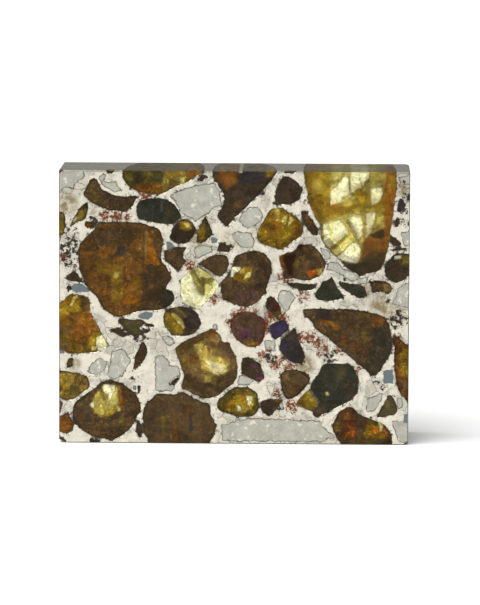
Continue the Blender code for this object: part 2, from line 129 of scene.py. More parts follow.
class Signal:
    """A shader value that takes part in Python expressions.

    Args:
        graph: the material's graph, which makes the Math nodes.
        socket: the output socket that carries the value.
    """

    def __init__(self, graph: Graph, socket: bpy.types.NodeSocket) -> None:
        self.graph = graph
        self.socket = socket

    def _maths(self, operation: str, *values: Signal | float) -> Signal:
        """One Math node over the given values."""
        made = self.graph.node("ShaderNodeMath", {"operation": operation}, dict(enumerate(values)))
        return Signal(self.graph, made.outputs[0])

    def __add__(self, other: Signal | float) -> Signal:
        """The sum."""
        return self._maths("ADD", self, other)

    def __sub__(self, other: Signal | float) -> Signal:
        """The difference."""
        return self._maths("SUBTRACT", self, other)

    def __rsub__(self, other: float) -> Signal:
        """The difference from a number."""
        return self._maths("SUBTRACT", other, self)

    def __mul__(self, other: Signal | float) -> Signal:
        """The product."""
        return self._maths("MULTIPLY", self, other)

    def __truediv__(self, other: Signal | float) -> Signal:
        """The quotient."""
        return self._maths("DIVIDE", self, other)

    def __abs__(self) -> Signal:
        """The size without its sign."""
        return self._maths("ABSOLUTE", self)

    __radd__ = __add__
    __rmul__ = __mul__

    def larger(self, other: Signal | float) -> Signal:
        """The larger of the two."""
        return self._maths("MAXIMUM", self, other)

    def smaller(self, other: Signal | float) -> Signal:
        """The smaller of the two."""
        return self._maths("MINIMUM", self, other)

    def rise(self, start: float, end: float) -> Signal:
        """A smooth step: 0 where the value is at start, 1 where it is at end."""
        low, high, low_to, high_to = (start, end, 0.0, 1.0) if start < end else (end, start, 1.0, 0.0)
        made = self.graph.node(
            "ShaderNodeMapRange",
            {"interpolation_type": "SMOOTHSTEP"},
            {"Value": self, "From Min": low, "From Max": high, "To Min": low_to, "To Max": high_to},
        )
        return Signal(self.graph, made.outputs[0])


class Graph:
    """A material's node tree.

    Args:
        name: the material's name.
    """

    def __init__(self, name: str) -> None:
        self.material = bpy.data.materials.new(name)
        self.material.use_nodes = True
        self.tree = self.material.node_tree
        self.shader = self.tree.nodes["Principled BSDF"]
        self.output = self.tree.nodes["Material Output"]

    def node(self, kind: str, settings: dict | None = None, sockets: dict | None = None) -> bpy.types.Node:
        """Add a node.

        Args:
            kind: the node's type.
            settings: its properties, set before its sockets.
            sockets: the value or the link of each input, by name or number.

        Returns:
            The node.
        """
        made = self.tree.nodes.new(kind)
        for key, setting in (settings or {}).items():
            setattr(made, key, setting)
        for key, given in (sockets or {}).items():
            self.feed(made.inputs[key], given)
        return made

    def feed(self, socket: bpy.types.NodeSocket, given: object) -> None:
        """Set an input to a value, or link it to a signal or an output."""
        if isinstance(given, Signal):
            given = given.socket
        if isinstance(given, bpy.types.NodeSocket):
            self.tree.links.new(given, socket)
        else:
            socket.default_value = given

    def place(self) -> bpy.types.NodeSocket:
        """The point on the piece, in millimetres."""
        spot = self.node("ShaderNodeTexCoord").outputs["Object"]
        return self.vector("SCALE", spot, scale=1.0 / MM)

    def vector(self, operation: str, first: object, second: object = None, scale: float = 1.0) -> bpy.types.NodeSocket:
        """One Vector Math node over points or colours."""
        second_input = {"Scale": scale} if operation == "SCALE" else {1: second}
        made = self.node("ShaderNodeVectorMath", {"operation": operation}, {0: first, **second_input})
        return made.outputs[0]

    def warped(self, spot: object, scale: float, reach: float) -> bpy.types.NodeSocket:
        """The point moved by noise, up to about reach, so that a pattern on it wanders."""
        drift = self.node("ShaderNodeTexNoise", {}, {"Vector": spot, "Scale": scale, "Detail": 2.0})
        centred = self.vector("SUBTRACT", drift.outputs["Color"], (0.5, 0.5, 0.5))
        return self.vector("ADD", spot, self.vector("SCALE", centred, scale=2.0 * reach))

    def noise(self, spot: object, scale: float, detail: float = 3.0, rough: float = 0.55) -> Signal:
        """Cloudy noise from 0 to 1."""
        sockets = {"Vector": spot, "Scale": scale, "Detail": detail, "Roughness": rough}
        return Signal(self, self.node("ShaderNodeTexNoise", {}, sockets).outputs["Fac"])

    def cells(self, spot: object, scale: float, feature: str = "F1", output: str = "Distance") -> Signal:
        """A pattern of cells: the distance to their middles or edges, or a number for each."""
        made = self.node("ShaderNodeTexVoronoi", {"feature": feature}, {"Vector": spot, "Scale": scale})
        if output == "Color":
            made = self.node("ShaderNodeSeparateColor", {}, {"Color": made.outputs["Color"]})
            output = "Red"
        return Signal(self, made.outputs[output])

    def stretched(self, spot: object, factors: tuple, turn: tuple = (0.0, 0.0, 0.0)) -> bpy.types.NodeSocket:
        """The point with each axis scaled, after a turn."""
        turned = self.node("ShaderNodeMapping", {}, {"Vector": spot, "Rotation": turn})
        return self.vector("MULTIPLY", turned.outputs[0], factors)

    def attribute(self, name: str) -> Signal:
        """A number kept on the mesh."""
        return Signal(self, self.node("ShaderNodeAttribute", {"attribute_name": name}).outputs["Fac"])

    def attribute_colour(self, name: str) -> bpy.types.NodeSocket:
        """A colour kept on the mesh."""
        return self.node("ShaderNodeAttribute", {"attribute_name": name}).outputs["Color"]

    def mix(self, share: object, first: object, second: object, blend: str = "MIX") -> bpy.types.NodeSocket:
        """One colour over another."""
        made = self.node("ShaderNodeMix", {"data_type": "RGBA", "blend_type": blend})
        for index, given in ((0, share), (6, first), (7, second)):
            self.feed(made.inputs[index], given)
        return made.outputs[2]

    def bump(self, height: Signal, reach: float, strength: float) -> bpy.types.NodeSocket:
        """A relief of the given depth in metres."""
        sockets = {"Height": height, "Distance": reach, "Strength": strength}
        return self.node("ShaderNodeBump", {}, sockets).outputs[0]

    def finish(self, **sockets: object) -> bpy.types.Material:
        """Feed the Principled shader, with spaces in its socket names written as underscores."""
        for key, given in sockets.items():
            self.feed(self.shader.inputs[key.replace("_", " ")], given)
        return self.material


def rgba(red: float, green: float, blue: float) -> tuple[float, float, float, float]:
    """An opaque colour in scene values."""
    return (red, green, blue, 1.0)


@dataclass(frozen=True)
class OlivineFinish:
    """Polished olivine: clear stone, facets and fractures inside, and rust along them."""

    slot: Slot
    transmission: float
    absorbs: tuple[float, float, float]
    density: float
    facet: float
    contrast: float
    glow_and_mottle: float
    fractures: float
    grain: float
    index: float = 1.67

    def material(self) -> bpy.types.Material:
        """The finish as a material. It reads the piece's tint, which holds the drawn colours."""
        graph = Graph(self.slot.value)
        spot = graph.place()
        bent = graph.warped(spot, 0.32, 0.9)
        slanted = graph.stretched(bent, (1.0, 0.5, 0.62), (0.35, 0.9, 0.5))
        facets = graph.cells(slanted, 1.0 / self.facet, "F1", "Color")
        shards = graph.cells(graph.stretched(bent, (1.0, 0.6, 1.5), (1.1, 0.3, 1.9)), 2.1 / self.facet, "F1", "Color")
        seams = graph.cells(slanted, 1.0 / self.facet, "DISTANCE_TO_EDGE").rise(0.05, 0.0)
        cloud = graph.noise(bent, 0.42, 6.0, 0.62)
        glints = graph.noise(bent, 1.0, 5.0, 0.7)
        grit = graph.noise(graph.stretched(bent, (1.3, 1.0, 0.55), (0.0, 0.5, 0.0)), 1.5, 4.0, 0.7)
        light = 1.0 + self.contrast * (1.1 * (facets - 0.5) + 0.9 * (shards - 0.5)) + self.grain * (grit - 0.5)
        tint = graph.mix(1.0, graph.attribute_colour("tint"), light.larger(0.12), "MULTIPLY")
        # Painted light: a golden glow and bright glints, as off the fractures inside the stone.
        glow = cloud.rise(0.42, 0.62) * glints.rise(0.45, 0.62)
        tint = graph.mix(glow * self.glow_and_mottle, tint, graph.mix(1.0, tint, rgba(3.2, 2.7, 1.5), "MULTIPLY"))
        glint_sparks = graph.noise(bent, 2.4, 2.0).rise(0.64, 0.7) * glints.rise(0.44, 0.54)
        tint = graph.mix(glint_sparks * (1.6 * self.glow_and_mottle), tint, graph.mix(1.0, tint, rgba(4.5, 4.2, 3.0), "MULTIPLY"))
        gloom = (cloud.rise(0.5, 0.36) + glints.rise(0.46, 0.34)).smaller(1.0)
        tint = graph.mix(gloom * (0.9 * self.glow_and_mottle), tint, graph.mix(1.0, tint, rgba(0.26, 0.25, 0.28), "MULTIPLY"))
        veins = (1.0 - abs(graph.noise(bent, 0.8, 5.0, 0.6) - 0.5).rise(0.0, 0.022)) * self.fractures
        tint = graph.mix(seams * (0.5 * self.fractures), tint, graph.mix(1.0, tint, rgba(0.45, 0.32, 0.2), "MULTIPLY"))
        tint = graph.mix(veins * 0.6, tint, rgba(0.028, 0.014, 0.007))
        ground = graph.attribute("ground")
        stony = graph.mix(glints.rise(0.4, 0.6), rgba(0.03, 0.026, 0.018), rgba(0.17, 0.15, 0.085))
        tint = graph.mix(ground * 0.72, tint, stony)
        relief = graph.bump(veins + seams * 0.3, 0.00003, 0.35)
        made = graph.finish(
            Base_Color=tint,
            Roughness=0.05 + 0.22 * veins + 0.45 * ground,
            Normal=relief,
            Transmission_Weight=self.transmission,
            IOR=self.index,
            Specular_IOR_Level=0.07,
            Specular_Tint=rgba(0.22, 0.19, 0.12),
        )
        volume = graph.node("ShaderNodeVolumeAbsorption", {}, {"Color": rgba(*self.absorbs), "Density": self.density})
        graph.feed(graph.output.inputs["Volume"], volume.outputs[0])
        return made


OLIVINE = {
    Slot.YELLOW: OlivineFinish(Slot.YELLOW, 0.75, (0.86, 0.85, 0.3), 26.0, 2.4, 0.62, 0.16, 0.9, 0.5),
    Slot.AMBER: OlivineFinish(Slot.AMBER, 0.6, (0.8, 0.72, 0.12), 60.0, 2.2, 0.6, 0.4, 0.9, 1.2),
    Slot.BROWN: OlivineFinish(Slot.BROWN, 0.4, (0.62, 0.48, 0.2), 260.0, 2.6, 0.45, 0.4, 0.6, 0.35),
    Slot.DARK: OlivineFinish(Slot.DARK, 0.3, (0.45, 0.42, 0.32), 420.0, 2.4, 0.35, 0.22, 0.4, 0.3),
}


@dataclass(frozen=True)
class MetalFinish:
    """Iron-nickel: bright kamacite round the crystals, grey plessite in the fields between."""

    kamacite: tuple[float, float, float] = (0.66, 0.62, 0.51)
    plessite: tuple[float, float, float] = (0.42, 0.415, 0.35)
    lining: tuple[float, float, float] = (0.13, 0.12, 0.1)
    troilite: tuple[float, float, float] = (0.135, 0.16, 0.165)
    rust: tuple[float, float, float] = (0.17, 0.04, 0.012)
    grime: tuple[float, float, float] = (0.03, 0.024, 0.019)
    stain: tuple[float, float, float] = (0.24, 0.19, 0.1)

    def polished(self) -> bpy.types.Material:
        """The polished faces. The mesh holds how deep each point lies in each kind of field."""
        graph = Graph("polished_iron_nickel")
        spot = graph.place()
        bent = graph.warped(spot, 1.1, 0.32)
        wander = 1.9 * (graph.noise(spot, 0.7, 5.0, 0.62) - 0.5)
        cloud = graph.noise(bent, 0.5, 6.0, 0.62)
        grit = graph.noise(spot, 3.2, 4.0, 0.75)
        depth = graph.attribute("plessite") + wander
        field = depth.rise(-0.05, 0.07)
        lamellae = graph.noise(graph.stretched(bent, (0.6, 1.0, 5.0), (0.0, 0.7, 0.0)), 0.8, 2.0)
        islands = field * graph.noise(bent, 0.62, 3.0, 0.5).rise(0.6, 0.66)
        patchy = 0.3 + 0.85 * cloud + 0.35 * grit + 0.2 * lamellae
        colour = graph.mix(1.0, rgba(*self.kamacite), 0.46 + 0.66 * cloud + 0.4 * grit, "MULTIPLY")
        grey = graph.mix(1.0, rgba(*self.plessite), patchy, "MULTIPLY")
        colour = graph.mix(field - islands, colour, grey)
        faint = ((graph.attribute("faint") + wander).rise(-0.2, 0.4)).larger(graph.noise(spot, 0.15, 3.0).rise(0.5, 0.6))
        faint = faint * (1.0 - field)
        tone = graph.cells(bent, 0.34, "F1", "Color") * 0.34 + graph.cells(bent, 1.1, "F1", "Color") * 0.12
        colour = graph.mix(faint * tone, colour, rgba(0.17, 0.17, 0.145))
        borders = graph.cells(bent, 0.34, "DISTANCE_TO_EDGE").rise(0.04, 0.012) * faint
        rim = graph.attribute("rim")
        cracks = 1.0 - abs(graph.noise(bent, 0.34, 4.0, 0.6) - 0.5).rise(0.003, 0.014)
        lines = (cracks * (1.0 - field) * graph.noise(bent, 0.3, 2.0).rise(0.42, 0.56) * 0.8).larger(borders * 0.7)
        lines = lines.larger(graph.noise(spot, 2.0, 2.0).rise(0.7, 0.73))
        lined = (1.0 - abs(depth).rise(0.05, 0.22)).larger(lines) * (0.3 + cloud.rise(0.3, 0.55)).smaller(1.0)
        colour = graph.mix(lined, colour, rgba(*self.lining))
        stained = graph.attribute("stain").larger(0.45 * graph.attribute("rust"))
        colour = graph.mix(stained * cloud.rise(0.36, 0.62), colour, rgba(*self.stain))
        colour = graph.mix((graph.attribute("troilite") + wander * 0.55).rise(-0.05, 0.1), colour, rgba(*self.troilite))
        threads = 1.0 - abs(graph.noise(bent, 0.75, 3.0, 0.55) - 0.5).rise(0.028, 0.048)
        crumbs = graph.noise(bent, 1.3, 4.0, 0.7)
        rusty = graph.attribute("rust")
        rusted = ((rusty * 2.0).smaller(1.0) * threads).larger((rusty * crumbs).rise(0.45, 0.5))
        colour = graph.mix(rusted, colour, graph.mix(grit.rise(0.46, 0.62), rgba(*self.rust), rgba(*self.grime)))
        specks = (graph.attribute("specks") * graph.noise(bent, 0.72, 5.0, 0.7)).rise(0.47, 0.53)
        colour = graph.mix(specks, colour, rgba(*self.grime))
        edge = (1.0 - rim.rise(0.02, 0.2)) * (0.35 + 0.8 * crumbs.rise(0.35, 0.7))
        edge = edge.larger((crumbs - 0.2 * rim).rise(0.5, 0.54))
        seam = (1.0 - graph.attribute("seam").rise(0.5, 0.95)) * (0.55 + 0.8 * crumbs.rise(0.3, 0.6))
        colour = graph.mix(edge.larger(seam).smaller(0.95), colour, rgba(*self.grime))
        dull = (rusted + specks).smaller(1.0)
        scratches = graph.noise(graph.stretched(spot, (0.35, 1.0, 9.0), (0.0, 0.12, 0.0)), 1.2, 2.0)
        return graph.finish(
            Base_Color=colour,
            Metallic=1.0 - 0.85 * dull,
            Roughness=0.24 + 0.1 * scratches + 0.08 * field + 0.4 * dull,
            Normal=graph.bump(field * 0.25 - dull - edge, 0.00004, 0.25),
            Specular_IOR_Level=0.08,
        )

    def ground(self) -> bpy.types.Material:
        """The sawn sides, duller, with the wheel's marks along them."""
        graph = Graph("ground_iron_nickel")
        spot = graph.place()
        cloud = graph.noise(spot, 0.35, 6.0, 0.6)
        marks = graph.noise(graph.stretched(spot, (0.12, 6.0, 6.0)), 0.9, 3.0)
        shade = 0.2 + 1.2 * cloud + 0.4 * marks
        colour = graph.mix(1.0, rgba(0.27, 0.262, 0.22), shade, "MULTIPLY")
        rusty = (cloud * 0.6 + 0.5 * graph.noise(spot, 1.3, 5.0, 0.7)).rise(0.54, 0.64)
        colour = graph.mix(rusty * 0.7, colour, rgba(0.1, 0.07, 0.04))
        edge = 1.0 - graph.attribute("rim").rise(0.02, 0.25)
        colour = graph.mix(edge * 0.8, colour, rgba(*self.grime))
        return graph.finish(
            Base_Color=colour,
            Metallic=0.9 - 0.6 * rusty,
            Roughness=0.4 + 0.15 * marks + 0.2 * rusty,
            Normal=graph.bump(marks - rusty, 0.00003, 0.3),
            Specular_IOR_Level=0.15,
        )

    def pocket_wall(self) -> bpy.types.Material:
        """The metal behind the crystals, seen through them, with a thin skin of rust."""
        graph = Graph("rusty_pocket_wall")
        cloud = graph.noise(graph.place(), 0.8, 5.0, 0.65)
        colour = graph.mix(cloud.rise(0.35, 0.65), rgba(0.42, 0.35, 0.17), rgba(0.09, 0.045, 0.018))
        return graph.finish(Base_Color=colour, Metallic=0.6, Roughness=0.45)


@dataclass(frozen=True)
class Patch:
    """An area drawn on a crystal: a window, whose pale colour is partly painted light shining through, a facet or a
    stained place.
    """

    hue: Hue
    outline: Outline
    feather: float = 0.25
    strength: float = 1.0


@dataclass(frozen=True)
class Run:
    """How a crystal runs into the metal: how far, its size there, and its shift to the right and up."""

    reach: float
    size: float
    right: float = 0.0
    up: float = 0.0

    def at(self, outline: np.ndarray, share: float) -> np.ndarray:
        """The outline at a share of the way from the front to the far end."""
        middle = outline.mean(axis=0)
        size = 1.0 + (self.size - 1.0) * share
        return middle + (outline - middle) * size + np.array([self.right, self.up]) * share


@dataclass(frozen=True)
class Look:
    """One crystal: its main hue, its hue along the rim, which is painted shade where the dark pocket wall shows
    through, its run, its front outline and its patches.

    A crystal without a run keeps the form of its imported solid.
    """

    hue: Hue
    rim: Hue
    run: Run | None = None
    outline: Outline = ()
    patches: tuple[Patch, ...] = ()


def box(left: float, low: float, right: float, high: float) -> Outline:
    """A rectangle's outline, for a place whose form doesn't matter."""
    return ((left, low), (right, low), (right, high), (left, high))


LOOKS = {
    "top_amber": Look(Hue.OLIVE, Hue.UMBER, Run(23.5, 0.75, 2.0, 1.5), (
        (-28.6, 74.0), (-28.6, 70.4), (-28.7, 68.5), (-27.8, 67.2), (-26.4, 66.0), (-24.8, 65.1), (-23.0, 64.8),
        (-21.2, 64.5), (-19.4, 64.3), (-18.3, 64.7), (-16.0, 66.0), (-15.0, 66.5), (-12.3, 67.5), (-10.9, 68.5),
        (-9.4, 69.4), (-7.5, 70.6), (-6.4, 74.0),
    ), (
        Patch(Hue.HONEY, ((-27.0, 66.4), (-24.0, 64.9), (-18.5, 64.9), (-18.8, 66.8), (-23.0, 67.6)), 0.7, 0.9),
        Patch(Hue.KHAKI, ((-18.4, 71.0), (-8.0, 71.0), (-9.0, 69.8), (-14.8, 66.8), (-18.2, 65.4)), 0.8, 0.55),
        Patch(Hue.MOSS, ((-21.4, 67.8), (-18.0, 67.6), (-18.2, 71.0), (-21.2, 71.0)), 0.7),
        Patch(Hue.UMBER, ((-26.0, 67.2), (-23.4, 67.6), (-23.2, 70.6), (-25.6, 71.0)), 0.7, 0.8),
        Patch(Hue.STRAW, ((-18.4, 67.2), (-16.5, 67.4), (-16.4, 68.4), (-18.2, 68.2)), 0.35, 0.7),
        Patch(Hue.LEMON_LIGHT, ((-13.8, 67.0), (-12.6, 67.6), (-12.7, 69.0), (-13.9, 68.7)), 0.25, 0.8),
        Patch(Hue.HONEY, ((-12.0, 68.9), (-9.4, 69.6), (-7.6, 71.0), (-12.4, 71.0)), 0.4, 0.9),
    )),
    "boomerang": Look(Hue.BROWN, Hue.UMBER, Run(9.0, 0.5, 1.0, 0.5), (
        (-36.3, 68.6), (-35.3, 68.2), (-34.8, 66.9), (-34.2, 65.8), (-33.5, 65.3), (-32.1, 64.8), (-30.3, 63.95),
        (-28.1, 63.8), (-25.8, 63.9), (-24.9, 64.2), (-24.4, 63.7), (-24.95, 63.2), (-25.4, 62.2), (-25.5, 61.7),
        (-26.4, 60.8), (-28.1, 59.75), (-28.9, 60.0), (-31.4, 60.1), (-32.8, 60.4), (-34.4, 61.1), (-36.0, 61.9),
        (-37.1, 62.5), (-38.0, 63.3), (-38.9, 64.3), (-38.8, 64.9), (-38.1, 66.1), (-37.3, 68.1),
    ), (
        Patch(Hue.OLIVE, ((-36.8, 64.8), (-35.6, 65.0), (-34.4, 62.6), (-35.6, 62.4)), 0.4, 0.8),
        Patch(Hue.UMBER, ((-33.0, 64.4), (-26.0, 63.6), (-26.8, 61.4), (-32.0, 61.2)), 0.8, 0.5),
    )),
    "green_oval": Look(Hue.GREEN_BLACK, Hue.GREEN_BLACK, Run(11.0, 0.55, 0.5, -0.5), (
        (-25.2, 61.2), (-24.7, 62.6), (-23.6, 63.25), (-20.3, 63.65), (-17.8, 63.55), (-15.9, 62.4), (-14.5, 61.0),
        (-14.0, 60.0), (-13.3, 58.9), (-14.3, 58.1), (-15.3, 56.7), (-19.4, 56.95), (-23.0, 57.7), (-24.6, 58.1),
        (-25.1, 59.4),
    ), (
        Patch(Hue.SLATE, ((-18.9, 60.0), (-18.4, 60.0), (-18.3, 62.5), (-18.8, 62.5)), 0.2, 0.7),
        Patch(Hue.SLATE, ((-21.2, 58.4), (-20.9, 58.4), (-20.6, 61.6), (-21.0, 61.6)), 0.3, 0.4),
        Patch(Hue.MOSS, ((-18.0, 58.0), (-16.0, 58.4), (-15.6, 60.8), (-17.4, 61.4)), 0.8, 0.5),
    )),
    "left_sliver": Look(Hue.GOLD, Hue.OLIVE, Run(8.0, 0.6, 0.3, 0.0), (
        (-37.7, 62.4), (-37.4, 61.5), (-37.6, 60.1), (-38.1, 58.3), (-39.0, 57.4), (-40.3, 57.2), (-41.2, 56.3),
        (-42.2, 56.1), (-41.5, 57.8), (-40.6, 59.2), (-39.75, 60.8), (-38.9, 61.6), (-38.1, 62.2),
    ), (
        Patch(Hue.PALE_LIGHT, ((-41.4, 57.4), (-40.5, 57.5), (-40.3, 58.6), (-41.0, 58.5)), 0.2, 0.8),
        Patch(Hue.STRAW, ((-40.2, 58.2), (-39.0, 58.4), (-38.4, 60.8), (-39.6, 60.4)), 0.4, 0.6),
        Patch(Hue.BROWN, ((-38.6, 60.6), (-37.2, 60.8), (-37.6, 62.6), (-38.8, 62.0)), 0.4),
    )),
    "left_rim": Look(Hue.OLIVE, Hue.UMBER, Run(7.0, 0.6, -0.5, 0.0), (
        (-48.0, 60.1), (-45.0, 60.0), (-44.0, 60.0), (-43.3, 59.2), (-43.3, 57.4), (-43.1, 56.3), (-43.3, 55.4),
        (-44.2, 53.8), (-44.9, 53.4), (-48.0, 53.2),
    ), (
        Patch(Hue.AMBER, box(-46.0, 54.0, -43.8, 56.4), 0.5, 0.8),
    )),
    "great_brown": Look(Hue.RUSSET, Hue.UMBER, Run(23.5, 0.62, -1.0, -2.5), (
        (-34.6, 57.5), (-31.0, 57.4), (-27.4, 57.6), (-23.4, 57.15), (-20.0, 56.0), (-19.3, 55.8), (-18.4, 54.4),
        (-18.2, 52.6), (-18.4, 50.4), (-18.7, 48.6), (-18.3, 47.0), (-17.2, 45.7), (-16.5, 44.6), (-15.9, 43.3),
        (-16.4, 42.2), (-17.55, 40.15), (-15.9, 39.7), (-15.2, 38.6), (-15.1, 37.4), (-15.9, 36.0), (-17.2, 35.2),
        (-18.0, 34.8), (-20.3, 34.5), (-23.0, 34.4), (-24.6, 34.2), (-26.4, 33.6), (-28.5, 32.9), (-29.75, 32.75),
        (-30.6, 33.0), (-32.1, 33.8), (-33.5, 34.7), (-34.6, 36.7), (-35.3, 38.1), (-36.0, 38.8), (-37.25, 39.9),
        (-38.0, 41.1), (-38.9, 43.3), (-39.75, 45.1), (-40.0, 46.9), (-40.0, 49.5), (-39.8, 51.6), (-38.1, 53.5),
        (-37.1, 54.4), (-36.0, 55.4), (-35.1, 56.4),
    ), (
        Patch(Hue.CINNAMON, ((-38.0, 44.0), (-33.0, 37.0), (-24.4, 34.8), (-21.6, 38.5), (-24.0, 46.2)), 1.6, 0.4),
        Patch(Hue.KHAKI, ((-32.6, 44.6), (-28.4, 46.2), (-28.8, 40.8), (-28.4, 38.0), (-31.2, 37.2), (-31.4, 42.6)), 0.3,
              0.5),
        Patch(Hue.UMBER, ((-38.0, 54.6), (-27.0, 57.0), (-24.2, 55.2), (-26.0, 52.4), (-36.0, 50.4)), 1.2, 0.7),
        Patch(Hue.CINNAMON, ((-33.7, 48.7), (-31.7, 48.6), (-31.4, 50.3), (-33.4, 50.4)), 0.5, 0.8),
        Patch(Hue.BLUE_BLACK, ((-30.6, 48.6), (-27.4, 48.8), (-27.2, 51.3), (-30.0, 51.4)), 0.6, 0.9),
        Patch(Hue.AMBER, ((-35.1, 46.0), (-29.9, 46.3), (-28.3, 46.0), (-28.9, 44.7), (-29.2, 42.6), (-28.3, 40.8),
                          (-28.3, 38.6), (-29.9, 36.1), (-31.4, 36.9), (-31.2, 39.7), (-31.2, 42.9),
                          (-33.5, 44.4), (-35.3, 44.7)), 0.7, 0.7),
        Patch(Hue.STRAW, ((-30.8, 42.8), (-29.8, 42.8), (-29.5, 44.4), (-30.6, 44.6)), 0.25, 0.8),
        Patch(Hue.HONEY, ((-28.4, 36.0), (-25.1, 36.0), (-25.0, 37.6), (-27.8, 38.4)), 0.4),
        Patch(Hue.TAN, box(-27.3, 42.6, -26.7, 43.4), 0.25, 0.7),
        Patch(Hue.TAN, box(-28.8, 42.8, -28.2, 43.6), 0.25, 0.7),
        Patch(Hue.AMBER, ((-26.6, 40.0), (-24.0, 40.4), (-24.2, 43.6), (-26.2, 43.8)), 0.8, 0.5),
        Patch(Hue.BROWN, ((-23.0, 57.0), (-22.3, 56.0), (-21.2, 54.0), (-20.2, 52.0), (-18.7, 50.0), (-18.7, 46.8),
                          (-20.4, 46.4), (-23.2, 46.5), (-23.4, 52.0)), 0.25),
        Patch(Hue.HONEY, ((-22.4, 56.2), (-21.7, 53.5), (-20.4, 50.5), (-19.1, 46.3), (-23.0, 46.6), (-22.8, 51.6)), 0.14),
        Patch(Hue.TAN, ((-22.9, 55.0), (-22.3, 54.8), (-22.4, 47.2), (-23.0, 47.0)), 0.14, 0.6),
        Patch(Hue.UMBER, ((-23.4, 46.4), (-16.4, 45.0), (-16.2, 41.0), (-18.0, 34.6), (-24.0, 34.4)), 0.6, 0.75),
        Patch(Hue.BROWN, ((-21.5, 35.0), (-20.8, 35.0), (-20.6, 41.0), (-21.4, 41.0)), 0.25),
        Patch(Hue.GREEN_BLACK, ((-18.2, 40.4), (-15.2, 40.0), (-15.0, 36.0), (-18.0, 35.2)), 0.3),
    )),
    "left_amber": Look(Hue.AMBER, Hue.OLIVE, Run(23.5, 0.8, 1.0, -1.8), (
        (-49.0, 36.2), (-45.0, 36.3), (-44.0, 36.9), (-42.3, 38.55), (-40.6, 38.6), (-38.9, 38.5), (-37.4, 37.75),
        (-37.1, 37.0), (-37.1, 35.0), (-37.0, 33.5), (-36.0, 32.0), (-35.2, 30.8), (-34.6, 29.4), (-33.9, 28.3),
        (-32.8, 26.5), (-32.3, 25.8), (-32.4, 25.1), (-33.5, 24.4), (-35.3, 23.75), (-37.4, 23.6), (-39.9, 23.2),
        (-42.4, 23.1), (-43.7, 24.0), (-45.0, 24.2), (-49.0, 24.3),
    ), (
        Patch(Hue.HONEY, ((-46.0, 33.0), (-36.6, 35.0), (-34.6, 29.0), (-38.0, 27.0), (-46.0, 29.0)), 0.5, 0.7),
        Patch(Hue.GOLD, ((-46.0, 32.6), (-42.6, 33.2), (-40.4, 36.4), (-46.0, 36.6)), 0.25, 0.9),
        Patch(Hue.GOLD, ((-42.6, 36.2), (-40.0, 36.6), (-38.6, 34.6), (-41.0, 33.6)), 0.2, 0.9),
        Patch(Hue.HONEY, ((-44.4, 36.8), (-42.0, 38.2), (-41.8, 37.0), (-43.4, 36.4)), 0.3, 0.9),
        Patch(Hue.LEMON_LIGHT, ((-42.4, 35.6), (-41.7, 35.6), (-40.2, 38.2), (-41.0, 38.2)), 0.15, 0.85),
        Patch(Hue.UMBER, ((-42.4, 31.6), (-40.2, 31.4), (-40.0, 33.8), (-42.0, 34.0)), 0.5, 0.7),
        Patch(Hue.BROWN, ((-39.5, 34.0), (-37.2, 34.2), (-37.2, 38.0), (-39.3, 38.2)), 0.3, 0.9),
        Patch(Hue.HONEY, ((-39.5, 31.0), (-36.2, 31.0), (-37.0, 34.0), (-39.4, 34.0)), 0.5, 0.8),
        Patch(Hue.MOSS, ((-46.0, 28.0), (-41.6, 28.0), (-41.4, 30.4), (-46.0, 30.6)), 0.6, 0.85),
        Patch(Hue.UMBER, ((-43.4, 28.4), (-42.4, 28.6), (-37.6, 25.4), (-38.4, 24.6)), 0.3, 0.95),
        Patch(Hue.CINNAMON, ((-43.0, 29.0), (-38.6, 31.4), (-35.4, 30.6), (-37.4, 26.0), (-42.0, 26.0)), 0.3, 0.8),
        Patch(Hue.GOLD, ((-38.0, 24.2), (-35.4, 24.4), (-35.0, 28.0), (-33.8, 28.4), (-36.2, 28.9)), 0.15, 0.9),
        Patch(Hue.PALE_LIGHT, ((-35.3, 27.4), (-34.0, 28.1), (-33.0, 26.7), (-32.4, 25.6), (-33.2, 24.6), (-35.0, 24.0),
                         (-35.4, 25.4)), 0.12),
        Patch(Hue.LEMON_LIGHT, box(-36.5, 24.1, -35.4, 25.0), 0.15, 0.8),
        Patch(Hue.TAN, ((-46.0, 28.2), (-42.2, 25.4), (-41.4, 24.6), (-42.6, 24.0), (-46.0, 24.0)), 0.2),
        Patch(Hue.ORANGE, box(-42.9, 24.2, -42.1, 24.9), 0.3, 0.8),
    )),
    "top_dark": Look(Hue.UMBER, Hue.GREEN_BLACK, Run(23.5, 0.7, -0.5, 4.0), (
        (-5.6, 74.0), (-5.6, 69.2), (-4.9, 67.7), (-4.4, 67.4), (-3.7, 66.0), (-2.8, 65.1), (-2.5, 64.0),
        (-2.5, 63.1), (-3.0, 61.5), (-3.4, 60.4), (-4.1, 59.7), (-4.2, 58.6), (-3.5, 57.4), (-2.1, 56.1),
        (-1.6, 56.3), (0.0, 58.3), (1.9, 60.1), (3.4, 61.5), (5.0, 63.1), (7.4, 65.6), (9.5, 68.1), (11.1, 70.5),
        (13.0, 74.0),
    ), (
        Patch(Hue.CINNAMON, ((-4.6, 69.0), (-3.6, 71.0), (0.4, 71.0), (0.8, 68.0), (-1.8, 65.8)), 0.6, 0.85),
        Patch(Hue.BLUE_BLACK, ((1.5, 67.0), (7.0, 67.4), (8.0, 71.0), (1.8, 71.0)), 0.8),
        Patch(Hue.AMBER, ((8.0, 69.0), (9.6, 69.2), (10.6, 71.0), (8.4, 71.0)), 0.3, 0.9),
        Patch(Hue.PALE_LIGHT, box(1.3, 70.3, 2.0, 71.0), 0.2, 0.8),
        Patch(Hue.BROWN, ((-0.4, 61.0), (1.8, 61.2), (2.0, 63.2), (0.0, 63.0)), 0.5),
        Patch(Hue.SLATE, box(3.5, 63.2, 4.1, 63.9), 0.25, 0.6),
    )),
    "dark_nut": Look(Hue.UMBER, Hue.UMBER, Run(9.0, 0.55, 0.0, 0.0), (
        (12.0, 68.8), (12.6, 69.4), (13.6, 69.4), (15.1, 68.8), (16.3, 67.9), (17.0, 66.7), (17.6, 66.4),
